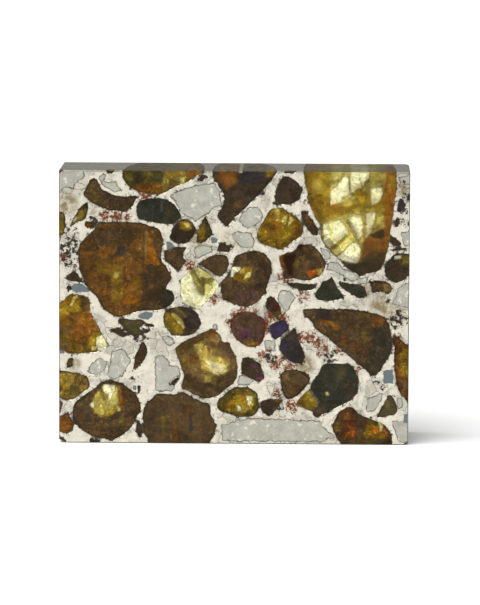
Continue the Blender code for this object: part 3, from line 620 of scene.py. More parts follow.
        (17.7, 65.5), (17.1, 65.0), (16.9, 63.3), (16.1, 62.75), (14.9, 62.2), (13.1, 62.0), (11.5, 62.0),
        (10.4, 62.9), (10.4, 64.4), (10.7, 66.1), (11.1, 67.6),
    ), (
        Patch(Hue.UMBER, ((13.6, 68.4), (16.6, 66.4), (16.4, 63.4), (13.4, 62.6)), 0.9, 0.7),
    )),
    "great_yellow": Look(Hue.AMBER, Hue.RUSSET, Run(23.5, 0.92, -0.3, 0.8), (
        (17.3, 74.0), (17.8, 70.4), (17.9, 68.3), (18.5, 66.3), (18.8, 65.25), (18.5, 64.0), (19.2, 62.2),
        (19.9, 60.8), (21.0, 58.6), (22.0, 56.7), (22.2, 55.4), (22.35, 53.2), (23.4, 51.3), (24.7, 50.0),
        (26.6, 48.4), (27.6, 47.5), (28.4, 46.2), (29.9, 45.3), (31.3, 44.5), (32.2, 43.6), (33.1, 43.9),
        (34.5, 44.5), (36.1, 44.7), (37.2, 45.25), (37.9, 46.1), (38.4, 47.4), (39.1, 49.7), (39.5, 51.3),
        (39.9, 54.2), (40.2, 56.3), (40.5, 59.0), (40.8, 61.5), (41.1, 64.0), (41.45, 66.0), (41.5, 68.3),
        (41.4, 70.4), (41.6, 74.0),
    ), (
        Patch(Hue.AMBER, ((18.0, 71.0), (24.6, 71.0), (24.2, 62.2), (19.4, 62.4)), 0.5),
        Patch(Hue.GOLD, ((21.4, 71.0), (24.8, 71.0), (24.4, 62.4), (22.6, 63.0), (21.6, 66.0)), 0.2, 0.9),
        Patch(Hue.STRAW, ((24.6, 71.0), (38.9, 71.0), (38.4, 67.2), (37.9, 65.0), (36.6, 62.9), (33.8, 65.4),
                          (31.8, 66.2), (30.4, 64.6), (31.4, 62.6), (28.6, 61.6), (25.4, 62.2), (24.4, 64.0)), 0.2),
        Patch(Hue.OLIVE, ((32.3, 66.6), (34.6, 70.2), (35.0, 67.0), (34.2, 65.0)), 0.2, 0.6),
        Patch(Hue.GOLD, ((28.6, 61.4), (33.6, 65.2), (37.0, 62.6), (38.6, 62.0), (38.4, 60.0), (29.0, 59.8)), 0.3, 0.8),
        Patch(Hue.STRAW, ((23.4, 57.6), (27.5, 59.2), (32.2, 60.1), (38.2, 59.8), (38.6, 56.6), (36.0, 55.2),
                          (33.2, 52.8), (32.6, 48.5), (31.4, 47.0), (26.6, 48.2), (24.2, 50.6), (22.8, 53.0)), 0.2),
        Patch(Hue.STRAW, ((20.0, 65.0), (22.0, 65.2), (22.2, 68.0), (20.2, 68.2)), 0.7, 0.7),
        Patch(Hue.OLIVE, ((30.2, 71.0), (31.2, 71.0), (29.8, 67.4), (30.2, 64.6), (29.4, 64.4), (29.2, 68.0)), 0.15, 0.8),
        Patch(Hue.OLIVE, ((24.0, 68.0), (26.2, 69.0), (28.4, 70.6), (27.6, 69.0), (25.6, 67.4), (24.2, 67.0)), 0.15, 0.7),
        Patch(Hue.OLIVE, ((36.8, 70.9), (38.4, 70.6), (37.8, 68.0), (38.6, 65.0), (37.6, 64.4), (36.9, 67.6)), 0.15, 0.7),
        Patch(Hue.PALE_LIGHT, ((28.0, 69.3), (28.8, 69.0), (29.3, 66.4), (29.8, 64.2), (28.0, 63.0), (24.6, 61.8),
                         (24.8, 65.6), (26.4, 66.8)), 0.12),
        Patch(Hue.PALE_LIGHT, ((29.6, 70.9), (32.2, 70.9), (32.4, 66.4), (31.3, 66.2), (30.0, 65.0), (29.6, 67.8)), 0.12, 0.9),
        Patch(Hue.LEMON_LIGHT, ((25.0, 71.0), (27.4, 71.0), (27.2, 69.4), (25.4, 68.4)), 0.4, 0.7),
        Patch(Hue.PALE_LIGHT, ((32.3, 70.8), (34.5, 70.7), (34.1, 68.8), (33.4, 67.7), (33.0, 67.0), (32.5, 67.9),
                         (32.2, 69.4)), 0.12),
        Patch(Hue.STRAW, ((35.0, 70.2), (36.3, 70.4), (39.1, 69.5), (39.1, 68.5), (37.9, 67.4), (35.6, 67.2),
                          (34.9, 67.9)), 0.2),
        Patch(Hue.PALE_LIGHT, ((34.7, 66.4), (37.3, 66.5), (38.0, 64.9), (37.0, 62.9), (35.1, 62.1)), 0.12, 0.9),
        Patch(Hue.STRAW, ((28.1, 63.6), (30.6, 63.8), (31.5, 63.1), (29.1, 61.5), (27.5, 62.4)), 0.25),
        Patch(Hue.OLIVE, ((27.4, 63.8), (27.6, 63.5), (30.3, 64.8), (30.1, 65.1)), 0.12),
        Patch(Hue.AMBER, ((19.6, 61.6), (22.0, 62.3), (24.5, 62.2), (27.2, 61.4), (28.3, 60.0), (26.8, 59.2),
                             (23.6, 58.0), (22.3, 57.6), (20.6, 58.8)), 0.3),
        Patch(Hue.ORANGE, box(25.0, 61.0, 26.5, 62.1), 0.3, 0.7),
        Patch(Hue.PALE_LIGHT, ((22.7, 56.9), (24.6, 57.5), (26.9, 58.1), (28.2, 56.6), (29.3, 54.6), (28.2, 53.6),
                         (26.0, 51.4), (24.6, 50.9), (23.0, 52.6)), 0.12),
        Patch(Hue.LEMON_LIGHT, ((23.7, 57.3), (25.2, 57.7), (25.6, 51.8), (24.3, 51.6)), 0.3, 0.7),
        Patch(Hue.PALE_LIGHT, ((29.2, 58.6), (32.2, 59.5), (32.7, 57.0), (32.9, 54.8), (31.8, 52.9), (30.7, 54.3),
                         (29.7, 56.6)), 0.12, 0.9),
        Patch(Hue.PALE_LIGHT, ((33.8, 59.9), (36.2, 60.0), (36.0, 58.3), (35.2, 55.8), (34.5, 54.4), (33.4, 53.6),
                         (34.0, 55.6), (33.6, 57.2)), 0.14, 0.8),
        Patch(Hue.STRAW, ((36.8, 58.6), (38.1, 59.0), (38.8, 56.3), (37.4, 56.0)), 0.3, 0.8),
        Patch(Hue.UMBER, ((34.5, 54.5), (36.8, 55.4), (38.4, 56.1), (39.0, 54.5), (37.7, 52.9), (35.6, 53.6)), 0.3),
        Patch(Hue.HONEY, ((38.9, 71.0), (41.6, 71.0), (41.0, 62.0), (39.8, 53.0), (38.4, 53.4)), 0.4),
        Patch(Hue.GOLD, box(39.6, 66.0, 41.0, 69.5), 0.4, 0.8),
        Patch(Hue.GOLD, ((24.6, 51.4), (28.6, 54.2), (29.6, 53.4), (28.0, 50.0), (26.4, 48.8)), 0.25),
        Patch(Hue.OLIVE, ((24.8, 50.2), (28.8, 54.1), (28.5, 54.5), (24.5, 50.6)), 0.14),
        Patch(Hue.LEMON_LIGHT, ((24.9, 50.5), (26.2, 50.9), (29.0, 53.6), (30.6, 52.8), (28.6, 50.9), (26.2, 49.2)), 0.14, 0.9),
        Patch(Hue.PALE_LIGHT, ((26.2, 48.6), (28.4, 50.2), (30.2, 52.0), (31.8, 51.9), (32.5, 50.0), (31.8, 47.6),
                         (31.3, 46.6), (28.6, 47.0)), 0.12),
        Patch(Hue.MOSS, ((28.9, 58.4), (29.3, 58.5), (33.1, 50.3), (32.7, 50.0)), 0.12, 0.9),
        Patch(Hue.CINNAMON, ((32.8, 52.2), (33.8, 53.6), (36.0, 53.4), (39.2, 52.8), (39.0, 48.6), (36.0, 49.4),
                             (33.0, 49.4)), 0.3),
        Patch(Hue.UMBER, ((32.2, 48.6), (36.2, 50.6), (39.2, 50.0), (38.0, 45.6), (34.0, 43.6)), 0.5, 0.8),
        Patch(Hue.UMBER, ((26.4, 47.9), (32.0, 47.2), (38.6, 47.4), (36.8, 44.4), (31.9, 43.2)), 0.3),
        Patch(Hue.HONEY, box(37.0, 50.0, 39.0, 51.7), 0.4, 0.6),
    )),
    "amber_knuckle": Look(Hue.AMBER, Hue.OLIVE, Run(23.5, 0.7, 0.0, -1.5), (
        (9.35, 61.0), (11.5, 61.35), (13.1, 60.8), (14.5, 59.7), (16.0, 59.0), (16.9, 57.9), (17.7, 56.1),
        (17.6, 54.9), (16.9, 53.8), (15.1, 52.75), (14.2, 52.0), (13.1, 51.1), (12.3, 50.4), (11.1, 50.65),
        (9.0, 51.4), (6.5, 52.1), (5.75, 53.5), (5.9, 54.9), (6.5, 56.3), (7.6, 58.1), (8.6, 59.9),
    ), (
        Patch(Hue.STRAW, ((10.4, 60.9), (11.6, 60.9), (11.5, 58.0), (10.6, 58.0)), 0.25, 0.9),
        Patch(Hue.LEMON_LIGHT, ((12.0, 57.6), (13.0, 59.2), (13.6, 59.4), (13.4, 57.2), (12.6, 56.8)), 0.2, 0.8),
        Patch(Hue.LEMON_LIGHT, ((14.2, 59.2), (15.4, 58.0), (14.6, 57.2), (13.9, 56.6)), 0.2, 0.7),
        Patch(Hue.GOLD, ((5.9, 53.2), (8.0, 52.8), (8.2, 56.0), (6.4, 56.0)), 0.4, 0.8),
        Patch(Hue.GOLD, ((12.0, 56.4), (14.8, 56.2), (14.6, 53.4), (12.2, 53.0)), 0.7, 0.7),
        Patch(Hue.CINNAMON, ((15.8, 57.9), (17.6, 56.0), (17.0, 54.0), (15.6, 53.6)), 0.4, 0.8),
        Patch(Hue.CINNAMON, ((8.6, 55.0), (11.0, 55.2), (11.2, 57.6), (9.0, 57.4)), 0.5, 0.7),
    )),
    "small_ridge": Look(Hue.UMBER, Hue.UMBER, Run(5.0, 0.5, 0.3, 0.4), (
        (17.0, 60.6), (17.9, 60.4), (18.8, 60.1), (18.85, 59.2), (20.1, 58.3), (20.6, 56.9), (21.4, 56.0),
        (21.65, 55.4), (21.3, 54.0), (20.1, 54.1), (19.0, 55.4), (18.0, 56.9), (17.3, 58.3),
    ), (
        Patch(Hue.CINNAMON, ((18.2, 59.6), (18.9, 59.4), (19.6, 57.4), (18.6, 57.4)), 0.4, 0.8),
    )),
    "brown_window": Look(Hue.BROWN, Hue.UMBER, Run(23.5, 0.4, -1.2, -1.0), (
        (4.0, 50.0), (5.25, 50.3), (6.5, 50.2), (8.1, 49.3), (9.2, 48.1), (9.7, 46.9), (9.8, 45.1), (9.5, 43.6),
        (9.0, 42.2), (8.5, 40.8), (8.3, 39.9), (8.6, 39.1), (7.9, 38.75), (7.0, 37.9), (6.3, 37.0), (4.9, 36.0),
        (3.5, 35.6), (2.4, 35.65), (0.1, 36.1), (-1.6, 36.9), (-3.1, 37.9), (-3.4, 39.7), (-3.5, 41.9),
        (-1.6, 43.8), (-0.9, 45.4), (-0.3, 46.9), (0.3, 48.9), (2.0, 49.6),
    ), (
        Patch(Hue.UMBER, ((5.0, 40.0), (9.4, 41.0), (9.4, 47.0), (5.6, 47.0)), 0.9, 0.8),
        Patch(Hue.MAUVE, ((0.0, 36.4), (6.0, 36.4), (6.6, 40.0), (0.0, 40.0)), 0.9, 0.7),
        Patch(Hue.AMBER, ((0.8, 44.6), (2.0, 45.9), (4.5, 45.8), (4.8, 44.9), (4.3, 43.4), (2.6, 41.6), (1.0, 42.3),
                          (-0.3, 43.0), (0.3, 44.1)), 0.14),
        Patch(Hue.PALE_LIGHT, ((-0.9, 45.2), (0.0, 45.75), (1.7, 45.7), (0.9, 44.6), (0.2, 44.2), (-0.3, 43.3),
                         (-0.9, 43.6)), 0.12),
        Patch(Hue.STRAW, ((1.6, 45.4), (2.8, 45.6), (2.4, 44.4), (1.4, 44.4)), 0.2, 0.7),
        Patch(Hue.LEMON_LIGHT, ((3.0, 44.4), (4.4, 44.6), (4.3, 43.6), (3.2, 43.2), (2.3, 42.6), (2.9, 43.6)), 0.14, 0.9),
    )),
    "dark_wing": Look(Hue.BROWN, Hue.UMBER, Run(8.0, 0.5, -0.2, 0.8), (
        (-9.7, 46.5), (-8.9, 46.95), (-7.6, 47.6), (-5.9, 48.8), (-3.7, 49.2), (-1.75, 48.8), (-1.3, 47.75),
        (-1.15, 46.3), (-1.9, 44.4), (-2.9, 43.4), (-4.1, 43.25), (-5.5, 44.15), (-6.9, 45.2), (-8.4, 46.1),
    )),
    "pale_window": Look(Hue.PALE_LIGHT, Hue.PALE_LIGHT, Run(23.5, 0.85, 0.4, -1.6), (
        (-9.8, 46.05), (-8.6, 45.5), (-6.9, 44.3), (-5.1, 43.0), (-4.2, 42.0), (-4.0, 40.8), (-4.7, 39.7),
        (-6.0, 38.2), (-7.3, 36.9), (-8.2, 35.9), (-9.1, 35.0), (-10.1, 35.2), (-11.9, 36.0), (-13.0, 36.5),
        (-13.4, 37.4), (-13.65, 38.8), (-13.65, 42.6), (-12.4, 43.7), (-11.6, 44.7), (-10.6, 45.4),
    ), (
        Patch(Hue.OLIVE, ((-11.6, 45.0), (-10.4, 45.4), (-9.8, 44.9), (-9.2, 43.6), (-8.6, 42.6), (-7.6, 41.9),
                          (-7.4, 40.4), (-7.3, 39.0), (-7.9, 38.1), (-8.8, 39.0), (-9.8, 40.4), (-10.6, 42.6)), 0.12),
        Patch(Hue.OLIVE, ((-8.6, 43.0), (-7.0, 43.2), (-4.8, 42.8), (-5.3, 41.6), (-6.6, 41.4), (-8.4, 41.6)), 0.12),
        Patch(Hue.LEMON_LIGHT, ((-9.6, 45.8), (-8.4, 45.3), (-5.4, 43.2), (-7.8, 43.3), (-8.6, 43.6)), 0.12),
        Patch(Hue.STRAW, ((-10.2, 43.2), (-9.4, 42.8), (-8.6, 41.0), (-9.4, 41.2)), 0.2, 0.8),
        Patch(Hue.LEMON_LIGHT, ((-7.4, 41.4), (-5.4, 41.0), (-4.9, 40.2), (-7.2, 37.7), (-7.5, 39.2)), 0.12),
        Patch(Hue.GREEN_BLACK, ((-8.5, 39.9), (-7.4, 39.9), (-7.3, 38.8), (-8.0, 38.5)), 0.2, 0.8),
    )),
    "yellow_cap": Look(Hue.UMBER, Hue.GREEN_BLACK, Run(23.5, 0.45, 0.7, 0.0), (
        (-12.3, 58.2), (-13.6, 58.05), (-14.2, 57.4), (-15.1, 56.6), (-15.9, 55.8), (-16.1, 54.7), (-16.7, 53.6),
        (-16.2, 52.9), (-15.1, 52.0), (-14.25, 51.7), (-12.8, 51.8), (-11.6, 52.4), (-10.6, 53.5), (-9.75, 55.4),
        (-9.9, 56.0), (-10.7, 57.2), (-11.6, 58.1),
    ), (
        Patch(Hue.AMBER, ((-13.9, 57.6), (-12.4, 58.0), (-10.9, 57.0), (-10.7, 56.0), (-12.0, 55.3),
                          (-13.8, 55.6)), 0.3),
        Patch(Hue.LEMON_LIGHT, ((-12.9, 57.4), (-11.8, 57.4), (-11.3, 56.5), (-12.4, 56.1)), 0.25, 0.85),
    )),
    "diamond": Look(Hue.OLIVE, Hue.UMBER, Run(23.5, 0.4, -0.5, -2.0), (
        (-7.4, 59.1), (-6.6, 57.4), (-5.9, 55.8), (-5.4, 54.3), (-5.9, 53.9), (-7.3, 52.7), (-8.5, 52.0),
        (-8.9, 52.2), (-9.5, 52.85), (-9.4, 54.5), (-8.9, 56.3), (-8.2, 57.75),
    ), (
        Patch(Hue.AMBER, ((-9.2, 55.6), (-8.0, 56.2), (-7.4, 53.4), (-9.0, 52.8)), 0.25),
        Patch(Hue.GREEN_BLACK, ((-7.6, 58.6), (-6.8, 57.4), (-5.8, 55.0), (-6.8, 53.8), (-7.4, 55.6)), 0.25, 0.85),
    )),
    "brown_flank": Look(Hue.BROWN, Hue.UMBER, Run(8.0, 0.55, 0.5, 0.0), (
        (-17.9, 50.1), (-16.6, 50.5), (-15.1, 50.9), (-14.4, 51.15), (-12.3, 51.0), (-12.5, 50.25), (-13.0, 49.4),
        (-13.0, 48.1), (-12.3, 47.4), (-12.5, 46.9), (-13.4, 45.8), (-14.25, 44.5), (-15.1, 45.1), (-15.9, 46.0),
        (-16.6, 46.5), (-17.6, 47.2), (-18.1, 48.5),
    )),
    "dark_chip": Look(Hue.UMBER, Hue.UMBER, Run(4.5, 0.5, 0.0, 0.0), (
        (-3.8, 52.2), (-2.5, 52.3), (-1.75, 51.5), (-0.3, 51.7), (-0.9, 50.8), (-1.0, 49.6), (-2.5, 49.55),
        (-4.0, 49.8), (-4.4, 50.2), (-4.1, 51.3),
    )),
    "left_triangle": Look(Hue.UMBER, Hue.UMBER, Run(5.0, 0.5, 0.0, 0.0), (
        (-41.2, 44.6), (-40.2, 44.0), (-39.5, 42.6), (-38.7, 41.4), (-40.2, 41.8), (-41.6, 42.0), (-42.9, 42.2),
        (-43.4, 43.0), (-42.4, 43.8),
    )),
    "rust_eye": Look(Hue.BROWN, Hue.UMBER, Run(23.5, 0.35, 3.0, -2.4), (
        (12.0, 49.3), (11.5, 48.6), (11.5, 47.4), (11.9, 46.3), (12.75, 45.25), (12.5, 43.5), (13.1, 42.85),
        (15.1, 43.1), (16.0, 42.9), (17.9, 42.5), (19.5, 42.6), (21.0, 43.3), (22.0, 43.8), (23.25, 45.9),
        (23.6, 46.9), (23.3, 47.75), (22.4, 49.4), (22.0, 49.9), (21.1, 50.8), (20.25, 51.7), (19.0, 51.95),
        (16.9, 52.0), (16.1, 51.7), (15.8, 50.6), (14.7, 50.0), (13.3, 49.6),
    ), (
        Patch(Hue.CINNAMON, box(11.4, 45.4, 12.8, 49.4), 0.4, 0.7),
        Patch(Hue.OXBLOOD, ((12.4, 49.0), (15.6, 49.6), (16.0, 47.6), (15.0, 46.6), (15.3, 44.0), (13.9, 43.8),
                            (13.2, 45.6), (12.6, 46.8)), 0.35),
        Patch(Hue.OLIVE, box(15.6, 45.4, 16.9, 48.0), 0.4, 0.8),
        Patch(Hue.TAN, box(20.0, 48.5, 22.0, 50.2), 0.6, 0.5),
        Patch(Hue.OXBLOOD, box(16.5, 50.4, 17.8, 51.8), 0.3, 0.9),
        Patch(Hue.ORANGE, ((18.6, 45.0), (21.4, 45.6), (22.0, 44.2), (19.4, 43.2)), 0.25, 0.9),
        Patch(Hue.STRAW, ((21.2, 45.4), (22.8, 45.6), (22.4, 44.4), (21.4, 43.9)), 0.2, 0.9),
    )),
    "dark_lens": Look(Hue.GREEN_BLACK, Hue.UMBER, Run(4.0, 0.6, 0.0, -0.3), (
        (13.4, 42.1), (16.9, 41.8), (20.25, 41.6), (21.6, 41.7), (21.1, 40.8), (20.1, 40.0), (16.9, 39.9),
        (15.1, 40.8), (14.0, 41.3),
    )),
    "dark_triangle": Look(Hue.GREEN_BLACK, Hue.GREEN_BLACK, Run(8.0, 0.5, 0.0, 0.0), (
        (25.0, 43.4), (25.75, 42.4), (26.8, 40.4), (28.1, 38.6), (28.45, 37.9), (27.2, 37.7), (25.6, 37.3),
        (23.8, 37.2), (21.5, 37.4), (20.6, 38.6), (21.1, 39.8), (22.1, 41.1), (22.6, 42.5), (23.6, 42.6),
        (24.4, 43.0),
    ), (
        Patch(Hue.RUST, box(24.4, 41.4, 25.0, 42.0), 0.25, 0.8),
    )),
    "dark_blade": Look(Hue.GREEN_BLACK, Hue.UMBER, Run(6.0, 0.5, 0.0, 0.0), (
        (26.6, 42.3), (27.9, 42.3), (29.5, 41.9), (31.3, 41.7), (33.1, 41.2), (33.8, 40.25), (34.3, 38.8),
        (33.8, 38.1), (32.7, 37.9), (31.3, 38.5), (29.9, 39.2), (28.6, 40.1), (27.2, 41.1),
    )),
    "brown_bead": Look(Hue.BROWN, Hue.UMBER, Run(6.0, 0.5, 0.0, 0.0), (
        (34.4, 42.9), (35.2, 42.4), (36.3, 42.7), (37.4, 42.7), (39.0, 42.5), (39.9, 42.0), (40.6, 40.8),
        (40.4, 39.7), (39.7, 39.0), (38.6, 39.5), (37.5, 39.9), (36.3, 39.5), (35.5, 39.4), (35.1, 41.1),
    ), (
        Patch(Hue.TAN, ((38.4, 42.4), (40.0, 41.6), (40.2, 39.8), (38.6, 39.8)), 0.4, 0.8),
    )),
    "right_dark": Look(Hue.UMBER, Hue.GREEN_BLACK, Run(12.0, 0.6, 0.5, 0.0), (
        (40.6, 49.2), (42.0, 49.8), (44.0, 49.7), (48.0, 49.4), (48.0, 43.6), (45.0, 43.9), (43.8, 43.1),
        (42.5, 42.2), (41.3, 42.0), (40.2, 42.5), (39.0, 43.6), (38.6, 44.9), (38.5, 46.3), (39.1, 47.4),
    ), (
        Patch(Hue.PALE_LIGHT, ((41.2, 48.9), (42.8, 49.1), (42.4, 48.3), (41.4, 48.1)), 0.2, 0.7),
        Patch(Hue.OLIVE, ((42.8, 48.8), (45.0, 48.8), (45.0, 47.0), (43.2, 47.0)), 0.5),
    )),
    "right_wedge": Look(Hue.BLUE_BLACK, Hue.BLUE_BLACK, Run(4.0, 0.6, 0.0, 0.0), (
        (42.0, 63.1), (42.4, 63.9), (43.1, 63.8), (43.6, 62.6), (44.0, 62.0), (43.4, 61.0), (42.5, 60.1),
        (41.6, 60.4), (41.8, 61.5),
    )),
    "dark_ledge": Look(Hue.MOSS, Hue.UMBER, Run(6.0, 0.5, 0.0, 0.0), (
        (-30.0, 31.9), (-29.4, 32.3), (-28.3, 32.5), (-26.9, 32.2), (-25.0, 32.2), (-23.3, 32.2), (-22.5, 31.5),
        (-23.4, 30.6), (-24.1, 30.0), (-24.6, 29.6), (-23.3, 29.3), (-23.5, 28.2), (-24.6, 27.7), (-26.4, 28.2),
        (-27.5, 29.0), (-28.4, 30.2), (-29.2, 31.0),
    )),
    "striped_brown": Look(Hue.BROWN, Hue.UMBER, Run(23.5, 0.4, -0.8, -1.8), (
        (-17.6, 34.4), (-16.9, 34.9), (-15.6, 35.4), (-13.7, 35.75), (-12.3, 35.5), (-10.7, 35.0), (-9.8, 34.3),
        (-8.9, 33.6), (-8.7, 32.2), (-8.2, 31.3), (-8.7, 30.6), (-9.25, 29.4), (-10.1, 28.6), (-10.9, 28.05),
        (-12.3, 28.0), (-14.4, 28.0), (-15.9, 28.1), (-16.9, 29.4), (-17.8, 30.6), (-18.1, 32.0), (-18.0, 33.3),
    ), (
        Patch(Hue.GOLD, ((-17.9, 33.8), (-16.2, 33.9), (-13.4, 30.0), (-13.2, 28.4), (-15.8, 28.5), (-17.8, 30.8)), 0.2, 0.7),
        Patch(Hue.OLIVE, ((-17.6, 31.4), (-16.2, 31.0), (-14.6, 28.4), (-16.0, 28.4)), 0.15, 0.8),
        Patch(Hue.CINNAMON, box(-15.9, 32.0, -15.0, 32.8), 0.3, 0.8),
        Patch(Hue.STRAW, ((-16.0, 34.2), (-15.2, 33.9), (-13.6, 32.0), (-12.5, 30.2), (-12.9, 29.8), (-14.4, 31.6),
                          (-15.8, 33.4)), 0.15),
        Patch(Hue.LEMON_LIGHT, ((-14.9, 32.2), (-14.3, 31.9), (-13.8, 31.0), (-14.4, 31.2)), 0.15, 0.9),
        Patch(Hue.LEMON_LIGHT, ((-15.2, 35.2), (-14.4, 35.4), (-14.4, 35.0), (-15.0, 34.9)), 0.12, 0.7),
        Patch(Hue.BLUE_BLACK, ((-14.8, 34.8), (-11.6, 35.2), (-9.0, 32.8), (-9.2, 30.0), (-11.8, 28.4),
                               (-12.6, 30.6)), 0.25, 0.9),
        Patch(Hue.OLIVE, ((-15.4, 35.0), (-14.6, 35.4), (-12.2, 33.4), (-12.6, 32.8)), 0.12, 0.8),
    )),
    "square_yellow": Look(Hue.TAN, Hue.BROWN, Run(23.5, 0.7, 0.5, -1.0), (
        (-5.6, 30.0), (-4.4, 29.2), (-3.6, 28.3), (-3.0, 26.7), (-1.0, 26.2), (-0.9, 25.4), (0.0, 23.6),
        (0.6, 22.2), (0.95, 20.8), (1.05, 19.9), (1.0, 18.3), (0.8, 17.2), (0.1, 16.0), (-1.9, 14.1),
        (-3.3, 13.1), (-3.7, 12.7), (-5.9, 11.8), (-7.3, 11.8), (-8.7, 12.2), (-10.5, 12.9), (-11.9, 13.9),
        (-13.0, 13.9), (-13.5, 14.55), (-13.3, 15.6), (-12.8, 17.2), (-12.8, 18.0), (-13.4, 19.5), (-14.1, 21.9),
        (-14.8, 23.3), (-15.05, 24.5), (-14.8, 25.25), (-13.7, 26.1), (-12.3, 26.9), (-10.5, 27.7), (-8.7, 28.6),
        (-6.9, 29.4),
    ), (
        Patch(Hue.AMBER, ((-13.0, 19.6), (-12.0, 19.8), (-12.0, 22.0), (-13.4, 21.8)), 0.5, 0.9),
        Patch(Hue.UMBER, ((-13.6, 15.2), (-9.0, 13.0), (-5.0, 11.8), (-7.4, 15.4), (-11.6, 18.4), (-13.2, 18.0)), 0.6, 0.7),
        Patch(Hue.OLIVE, ((-14.8, 24.8), (-10.4, 27.0), (-10.6, 24.4), (-12.4, 22.6), (-14.6, 23.0)), 0.3, 0.6),
        Patch(Hue.CINNAMON, ((-11.4, 20.5), (-9.2, 20.6), (-9.0, 23.0), (-11.2, 23.3)), 0.4, 0.8),
        Patch(Hue.BROWN, ((-12.0, 26.6), (-7.4, 28.8), (-8.0, 26.8), (-12.0, 24.8)), 0.5, 0.8),
        Patch(Hue.CINNAMON, ((-6.8, 28.6), (-5.4, 29.6), (-4.2, 28.8), (-5.2, 27.6), (-6.8, 27.6)), 0.3, 0.9),
        Patch(Hue.MAUVE, ((-4.2, 26.2), (-0.6, 26.0), (0.4, 22.4), (-3.0, 21.5)), 0.6, 0.8),
        Patch(Hue.TAN, box(-5.0, 23.3, -3.5, 24.9), 0.4, 0.8),
        Patch(Hue.STRAW, ((-10.1, 25.8), (-9.1, 26.1), (-7.3, 26.0), (-6.9, 25.1), (-6.9, 22.4), (-8.2, 21.5),
                          (-9.25, 23.3), (-10.0, 24.2)), 0.25, 0.75),
        Patch(Hue.LEMON_LIGHT, ((-9.4, 25.6), (-8.4, 25.7), (-8.0, 24.0), (-8.8, 23.8)), 0.25, 0.7),
        Patch(Hue.STRAW, ((-8.2, 22.4), (-3.4, 22.6), (-1.4, 21.0), (-1.8, 18.4), (-5.6, 17.4), (-8.2, 19.4)), 0.5),
        Patch(Hue.PALE_LIGHT, ((-6.9, 21.7), (-5.9, 21.7), (-4.25, 21.0), (-2.5, 20.8), (-1.9, 20.1), (-2.1, 19.0),
                         (-3.4, 18.3), (-5.0, 18.1), (-6.0, 19.0), (-7.3, 20.4)), 0.25, 0.6),
        Patch(Hue.STRAW, box(-7.6, 16.0, -5.9, 17.6), 0.35, 0.9),
        Patch(Hue.CINNAMON, box(-10.1, 14.7, -9.4, 17.6), 0.25, 0.6),
        Patch(Hue.UMBER, box(-7.6, 14.7, -5.1, 15.8), 0.3, 0.9),
        Patch(Hue.BROWN, ((-4.6, 16.6), (-0.9, 19.0), (0.9, 19.4), (0.6, 16.6), (-3.4, 13.4), (-4.6, 13.6)), 0.5, 0.9),
        Patch(Hue.SLATE, box(-0.9, 16.3, 0.0, 18.0), 0.35, 0.5),
    )),
    "leaf": Look(Hue.BROWN, Hue.UMBER, Run(6.0, 0.5, 0.0, 0.0), (
        (-23.5, 26.5), (-22.8, 26.3), (-22.25, 24.9), (-22.2, 23.6), (-23.0, 21.5), (-24.0, 20.4), (-24.9, 19.5),
        (-26.2, 18.8), (-26.0, 19.4), (-25.6, 20.8), (-25.3, 23.3), (-24.4, 24.7), (-24.0, 25.8),
    )),
    "left_brown": Look(Hue.KHAKI, Hue.BROWN, Run(13.0, 0.6, -1.5, 0.0), (
        (-48.0, 18.9), (-45.0, 18.9), (-43.05, 18.7), (-41.2, 18.3), (-38.9, 17.8), (-37.6, 17.2), (-37.2, 16.5),
        (-37.0, 15.3), (-37.15, 14.2), (-37.8, 13.8), (-39.2, 12.9), (-40.4, 11.8), (-40.9, 11.3), (-41.7, 11.2),
        (-42.6, 10.8), (-43.3, 10.9), (-44.2, 11.4), (-45.0, 11.7), (-48.0, 11.8),
    ), (
        Patch(Hue.GOLD, ((-44.6, 13.3), (-43.2, 13.4), (-43.0, 17.2), (-44.6, 17.0)), 0.35, 0.8),
        Patch(Hue.MAUVE, ((-40.0, 14.6), (-38.2, 15.0), (-38.0, 16.2), (-39.6, 16.0)), 0.4, 0.6),
        Patch(Hue.OLIVE, ((-42.8, 12.0), (-40.4, 12.6), (-39.6, 14.4), (-42.4, 14.6)), 0.6, 0.7),
    )),
    "round_window": Look(Hue.BROWN, Hue.UMBER, Run(23.5, 0.48, -0.3, 1.0), (
        (-31.9, 16.5), (-30.6, 16.3), (-28.3, 15.4), (-26.7, 14.2), (-25.3, 13.1), (-24.6, 12.05), (-23.95, 10.3),
        (-23.8, 9.0), (-23.95, 7.8), (-24.9, 6.5), (-25.5, 5.3), (-26.7, 3.5), (-28.1, 2.2), (-29.6, 1.3),
        (-30.8, 0.6), (-31.4, 0.35), (-32.25, 0.7), (-33.9, 1.0), (-35.8, 1.3), (-37.4, 2.2), (-38.9, 3.1),
        (-39.9, 3.8), (-40.8, 4.9), (-41.5, 6.5), (-41.7, 7.6), (-41.6, 8.7), (-41.0, 10.2), (-40.4, 11.0),
        (-38.9, 12.1), (-37.1, 13.4), (-35.6, 14.4), (-34.6, 15.5), (-33.5, 16.1),
    ), (
        Patch(Hue.BLUE_BLACK, box(-37.9, 5.8, -36.8, 8.0), 0.5, 0.7),
        Patch(Hue.STRAW, ((-36.6, 10.2), (-35.4, 13.0), (-33.4, 15.0), (-31.0, 15.4), (-29.2, 14.2), (-28.6, 11.6),
                          (-29.6, 9.0), (-31.5, 7.2), (-34.0, 6.9), (-36.0, 8.2)), 0.25, 0.9),
        Patch(Hue.GOLD, ((-34.4, 8.6), (-31.6, 8.4), (-29.4, 9.6), (-31.6, 7.0), (-34.0, 6.8)), 0.3, 0.8),
        Patch(Hue.STRAW, ((-34.6, 13.5), (-35.5, 12.4), (-35.7, 11.2), (-37.1, 9.9), (-36.0, 9.0), (-34.9, 7.9),
                          (-33.6, 7.4), (-32.9, 8.4), (-33.2, 10.3), (-33.4, 11.2), (-34.1, 12.6)), 0.15, 0.95),
